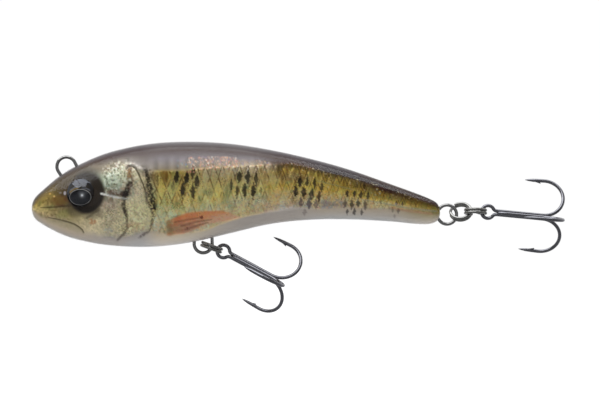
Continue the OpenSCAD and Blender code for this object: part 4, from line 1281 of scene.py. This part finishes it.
# ------------------------------------------------------------------ hangers
BELLY_LOOP = np.array([50.4, 0, -10.65])
TAIL_LOOP = np.array([121.94, 0, -2.07])
TIE_INNER = TIE + 5.3 * np.array([0.5, 0, -0.866])
BELLY_INNER = BELLY_LOOP + np.array([0, 0, 5.6])
TAIL_INNER = TAIL_LOOP + 6.7 * unit([-1, 0, 0.05])
HANGERS = (
    ("nose_line_tie", belt(TIE, TIE_INNER, TIE_LOOP_RADIUS, 2.5)),
    ("belly_hanger", belt(BELLY_LOOP, BELLY_INNER, 2.65, 2.5)),
    ("tail_hanger", waisted(TAIL_LOOP, TAIL_INNER, 2.8, 1.5)))
for name, path in HANGERS:
    add_wire(name + "_wire", path, HANGER_WIRE, 20, "lure_body", "hanger_wire", HANGER_FINISH,
             name)

# ------------------------------------------------------------------ split rings
RING_RADIUS, RING_WIRE, RING_GAP = 3.0, 0.86, 0.04
RING_TURNS, RING_START = 1.82, 0.04
BELLY_TILT = math.radians(20)     # of the belly ring's axis from Z towards the tail
BELLY_RING = BELLY_LOOP + np.array([2.47, 0, -0.99])
# name, body, centre, axis, direction that fixes where the coil starts
RINGS = (
    ("belly_split_ring", "belly_ring", BELLY_RING,
     np.array([math.sin(BELLY_TILT), 0, math.cos(BELLY_TILT)]), (1, 0, 0)),
    ("tail_split_ring_front", "tail_ring_front", TAIL_LOOP + np.array([4.03, 0.11, 0.8]),
     unit([-0.096, -0.720, 0.687]), (0, 0, 1)),
    ("tail_split_ring_rear", "tail_ring_rear", TAIL_LOOP + np.array([8.34, -0.21, 0.88]),
     unit([0.017, 0.117, 0.993]), (1, 0, 0)))


def coil(centre, axis, reference, count=190):
    """Flat coil that steps from one layer to the other near the end of its first turn."""
    a0 = unit(np.cross(axis, reference))
    b0 = np.cross(axis, a0)
    t = RING_START + np.linspace(0, RING_TURNS, count)[:, None]
    layer = (RING_WIRE + RING_GAP) / 2 * np.clip((t - 0.95) / 0.085, -1, 1)
    angle = 2 * np.pi * t
    return centre + RING_RADIUS * (np.cos(angle) * a0 + np.sin(angle) * b0) + layer * axis


for name, body, centre, axis, reference in RINGS:
    add_wire(name + "_coil", coil(centre, axis, reference), RING_WIRE, 18, body, "ring_steel",
             RING_FINISH, name)

# ------------------------------------------------------------------ treble hooks
# A hook is drawn with its eye at the origin and its shank along +X.
HOOK_WIRE, HOOK_EYE_RADIUS = 1.04, 1.86
BEND_RADIUS, SHANK_LENGTH = 5.7, 16.1
POINT_LENGTH = 5.75
POINT_TURN = 2.0                          # degrees the bend goes beyond a half turn
SHANK_OFFSET = HOOK_WIRE / 2 * 1.165      # of each shank's centre from the hook's axis
PAIR_START, SINGLE_START = 3.6, 2.9       # x where the shanks start
PAIR_ROLL, SINGLE_ROLL = 60, 180
HOOK_SIDES = 16
BARB_FACES = [(3, 2, 0), (1, 3, 0), (5, 4, 2), (3, 5, 2), (5, 1, 0), (4, 5, 0), (2, 4, 0),
              (5, 3, 1)]


def leg(start_x, roll):
    """Shank, bend and tapering point: path and radii."""
    shank = start_x + (SHANK_LENGTH - start_x) * np.linspace(0, 0.98, 10)
    bend = np.radians(np.linspace(-90, 90 + POINT_TURN, 46))
    t = np.array([0.12, 0.3, 0.45, 0.6, 0.7, 0.78, 0.85, 0.92, 0.97, 1.0])
    x = SHANK_LENGTH + BEND_RADIUS * np.cos(bend)
    z = SHANK_OFFSET + BEND_RADIUS + BEND_RADIUS * np.sin(bend)
    slope = math.sin(math.radians(POINT_TURN))
    x = np.concatenate([shank, x, x[-1] - POINT_LENGTH * t])
    z = np.concatenate([np.full(10, SHANK_OFFSET), z, z[-1] - POINT_LENGTH * t * slope])
    taper = np.interp(t, [0.3, 0.6, 0.85, 1.0], [1, 0.9, 0.55, 0.08])
    radii = HOOK_WIRE / 2 * np.concatenate([np.ones(len(x) - len(t)), taper])
    roll = math.radians(roll)
    return np.stack([x, z * math.sin(roll), z * math.cos(roll)], 1), radii


def barb(roll):
    x, z = SHANK_LENGTH - 1.25, SHANK_OFFSET + 2 * BEND_RADIUS - HOOK_WIRE / 2
    corners = np.array([[x + dx, side * half, z + dz]
                        for dx, half, dz in ((-2.6, 0.05, 0.2), (0, 0.15, -0.45),
                                             (-0.35, 0.26, 0.25))
                        for side in (1, -1)])
    return corners @ np.array(turn(-roll, "X")).T, BARB_FACES


def join(parts):
    vertices, faces, offset = [], [], 0
    for part_vertices, part_faces in parts:
        vertices.append(part_vertices)
        faces += [tuple(i + offset for i in face) for face in part_faces]
        offset += len(part_vertices)
    return np.concatenate(vertices), faces


def pair_wire():
    """One wire: leg, round the eye, leg."""
    first, first_radii = leg(PAIR_START, PAIR_ROLL)
    second, second_radii = leg(PAIR_START, -PAIR_ROLL)
    a = np.radians(np.linspace(32, 328, 84))
    height = SHANK_OFFSET * math.cos(math.radians(PAIR_ROLL))
    eye = np.stack([HOOK_EYE_RADIUS * np.cos(a), HOOK_EYE_RADIUS * np.sin(a),
                    height * np.cos(np.linspace(0, np.pi, 84)) ** 2], 1)
    t = np.linspace(0, 1, 9)[1:-1, None]
    slope_in = 2.0 * np.array([-math.sin(a[0]), math.cos(a[0]), 0])
    slope_out = 2.0 * np.array([-math.sin(a[-1]), math.cos(a[-1]), 0])
    to_eye = hermite(first[0], np.array([-2.0, 0, 0]), eye[0], slope_in, t)
    from_eye = hermite(eye[-1], slope_out, second[0], np.array([2.0, 0, 0]), t)
    path = np.concatenate([first[::-1], to_eye, eye, from_eye, second])
    middle = np.full(len(to_eye) + len(eye) + len(from_eye), HOOK_WIRE / 2)
    return path, np.concatenate([first_radii[::-1], middle, second_radii])


def add_treble(tag, centre, pitch, swing, roll):
    """A pair of legs and a single leg; the angles turn the hook about Y, Z and X."""
    axes = np.array(turn(pitch, "Y") @ turn(swing, "Z") @ turn(roll, "X"))

    def add_part(suffix, path, radii, rolls, replaced):
        parts = [sweep(path @ axes.T + centre, radii, HOOK_SIDES)]
        for barb_roll in rolls:
            corners, faces = barb(barb_roll)
            parts.append((corners @ axes.T + centre, faces))
        add_mesh(tag + suffix, *join(parts), tag + "_hook", "hook_steel", HOOK_FINISH,
                 tag + replaced)

    add_part("_hook_pair", *pair_wire(), (PAIR_ROLL, -PAIR_ROLL), "_treble_double")
    path, radii = leg(SINGLE_START, SINGLE_ROLL)
    radii[0] *= 0.7
    add_part("_hook_single", path, radii, (SINGLE_ROLL,), "_treble_third")


ring_to_hook = (RING_RADIUS + 0.65) * np.array([math.cos(BELLY_TILT), 0, -math.sin(BELLY_TILT)])
add_treble("belly", BELLY_RING + ring_to_hook, pitch=28, swing=-12, roll=-86)
add_treble("tail", TAIL_LOOP + np.array([12.0, 0.06, 0.76]), pitch=5.4, swing=0, roll=-87.5)

# ------------------------------------------------------------------ parts inside the body
for name, material in (
        ("ballast_front", BALLAST_FINISH), ("ballast_mid", BALLAST_FINISH),
        ("ballast_rear", BALLAST_FINISH), ("rattle_tube", RATTLE_FINISH),
        ("rattle_plug", RATTLE_FINISH), ("rattle_ball", BALL_FINISH)):
    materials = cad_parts[name].data.materials
    materials.clear()
    materials.append(material)

# ------------------------------------------------------------------ stage, in metres
FLOOR_HALF, FLOOR_Z = 6, -0.115
FLOOR_COLOUR = (0.86, 0.86, 0.87, 1)


def floor_material():
    """Pale floor, partly glowing to the camera, and unseen by it from below."""
    material, nodes = new_material("pale_floor")
    rays = nodes.add("LightPath").outputs
    glow_share = nodes.math("MULTIPLY", rays["Is Camera Ray"], 0.58)
    under = nodes.add("NewGeometry").outputs["Backfacing"]
    unseen = nodes.math("MULTIPLY", under, rays["Is Camera Ray"])
    # the near half stays dark in mirror reflections, like the unlit side of a studio
    position = nodes.add("NewGeometry").outputs["Position"]
    axes = nodes.add("SeparateXYZ", {0: position})
    near = nodes.add("MapRange", {"Value": axes.outputs["Y"], "From Min": -0.05,
                                  "From Max": 0.45, "To Min": 0.80, "To Max": 0.0})
    colour = nodes.add("Mix", data_type="RGBA", inputs={
        "Factor": nodes.math("MULTIPLY", near.outputs[0], rays["Is Glossy Ray"]),
        6: FLOOR_COLOUR, 7: (0.03, 0.03, 0.03, 1)})
    matt = nodes.add("BsdfDiffuse", {"Color": FLOOR_COLOUR})
    nodes.tree.links.new(colour.outputs[2], matt.inputs["Color"])
    glow = nodes.add("Emission", {"Color": (1, 1, 1, 1), "Strength": 1.85})
    seen = nodes.add("MixShader", {0: glow_share, 1: matt.outputs[0], 2: glow.outputs[0]})
    clear = nodes.add("BsdfTransparent")
    surface = nodes.add("MixShader", {0: unseen, 1: seen.outputs[0], 2: clear.outputs[0]})
    nodes.add("OutputMaterial", {0: surface.outputs[0]})
    return material


def add_floor():
    material = floor_material()
    mesh = bpy.data.meshes.new("floor")
    corners = [(x * FLOOR_HALF, y * FLOOR_HALF, FLOOR_Z)
               for x, y in ((-1, -1), (1, -1), (1, 1), (-1, 1))]
    mesh.from_pydata(corners, [], [(0, 1, 2, 3)])
    floor = bpy.data.objects.new("floor", mesh)
    scene.collection.objects.link(floor)
    mesh.materials.append(material)


def add_world():
    """White surroundings: brighter behind the lure, dim on the camera's side."""
    world = bpy.data.worlds.new("studio")
    scene.world = world
    world.use_nodes = True
    nodes = Nodes(world.node_tree)
    direction = nodes.add("SeparateXYZ", {0: nodes.add("TexCoord").outputs["Generated"]})
    lighting = nodes.add("MapRange", {"Value": direction.outputs["Y"], "From Min": -0.6,
                                      "From Max": 0.9, "To Min": 0.12, "To Max": 0.75})
    seen = nodes.add("LightPath").outputs["Is Camera Ray"]
    strength = nodes.add("Mix", data_type="FLOAT", inputs={
        "Factor": seen, 2: lighting.outputs[0], 3: 1.02})
    background = nodes.add("Background", {"Color": (1, 1, 1, 1),
                                          "Strength": strength.outputs[0]})
    nodes.add("OutputWorld", {0: background.outputs[0]})


def softbox(name, centre, size, target, radiance, colour=(1, 1, 1)):
    light = bpy.data.lights.new(name, "AREA")
    light.shape = "RECTANGLE"
    light.size, light.size_y = size
    light.energy = radiance * math.pi * size[0] * size[1]
    light.color = colour
    box = bpy.data.objects.new(name, light)
    scene.collection.objects.link(box)
    box.location = centre
    aim = Vector(target) - Vector(centre)
    box.rotation_euler = aim.to_track_quat("-Z", "Y").to_euler()
    box.visible_camera = False


add_floor()
add_world()
# two panels overhead with a narrow gap between them, and a shorter one over the tail:
# name, x, y, size
PANEL_Z = 0.52
for name, x, y, size in (("key_left", -0.44, -0.22, (0.40, 0.72)),
                         ("key_right", -0.025, -0.22, (0.39, 0.72)),
                         ("key_tail", 0.325, -0.01, (0.31, 0.30))):
    softbox(name, centre=(x, y, PANEL_Z), size=size, target=(x, y, 0), radiance=2.1,
            colour=(0.97, 0.985, 1.0))
# a dim fill low at the front
softbox("fill_front", centre=(0.07, -1.6, 0.05), size=(2.2, 0.9), target=(0.07, 0, 0),
        radiance=0.25)

# ------------------------------------------------------------------ camera and render
CAMERA_DISTANCE = 1.35
VIEW_WIDTH = 0.17604                  # seen at the lure's middle plane
VIEW_X, VIEW_Z = 78.80, 2.20          # middle of the view, millimetres from the nose tip

lens = bpy.data.cameras.new("camera")
camera = bpy.data.objects.new("camera", lens)
scene.collection.objects.link(camera)
lens.sensor_fit = "HORIZONTAL"
lens.sensor_width = 36.0
lens.lens = lens.sensor_width * CAMERA_DISTANCE / VIEW_WIDTH
lens.clip_start = 0.01
lens.clip_end = 50
camera.location = ((VIEW_X - TIE[0]) / 1000, -CAMERA_DISTANCE, (VIEW_Z - TIE[2]) / 1000)
camera.rotation_euler = (math.radians(90), 0, 0)
scene.camera = camera

scene.view_settings.view_transform = "Standard"
scene.view_settings.look = "None"
scene.cycles.max_bounces = 10
scene.cycles.transparent_max_bounces = 16

bpy.context.view_layer.update()
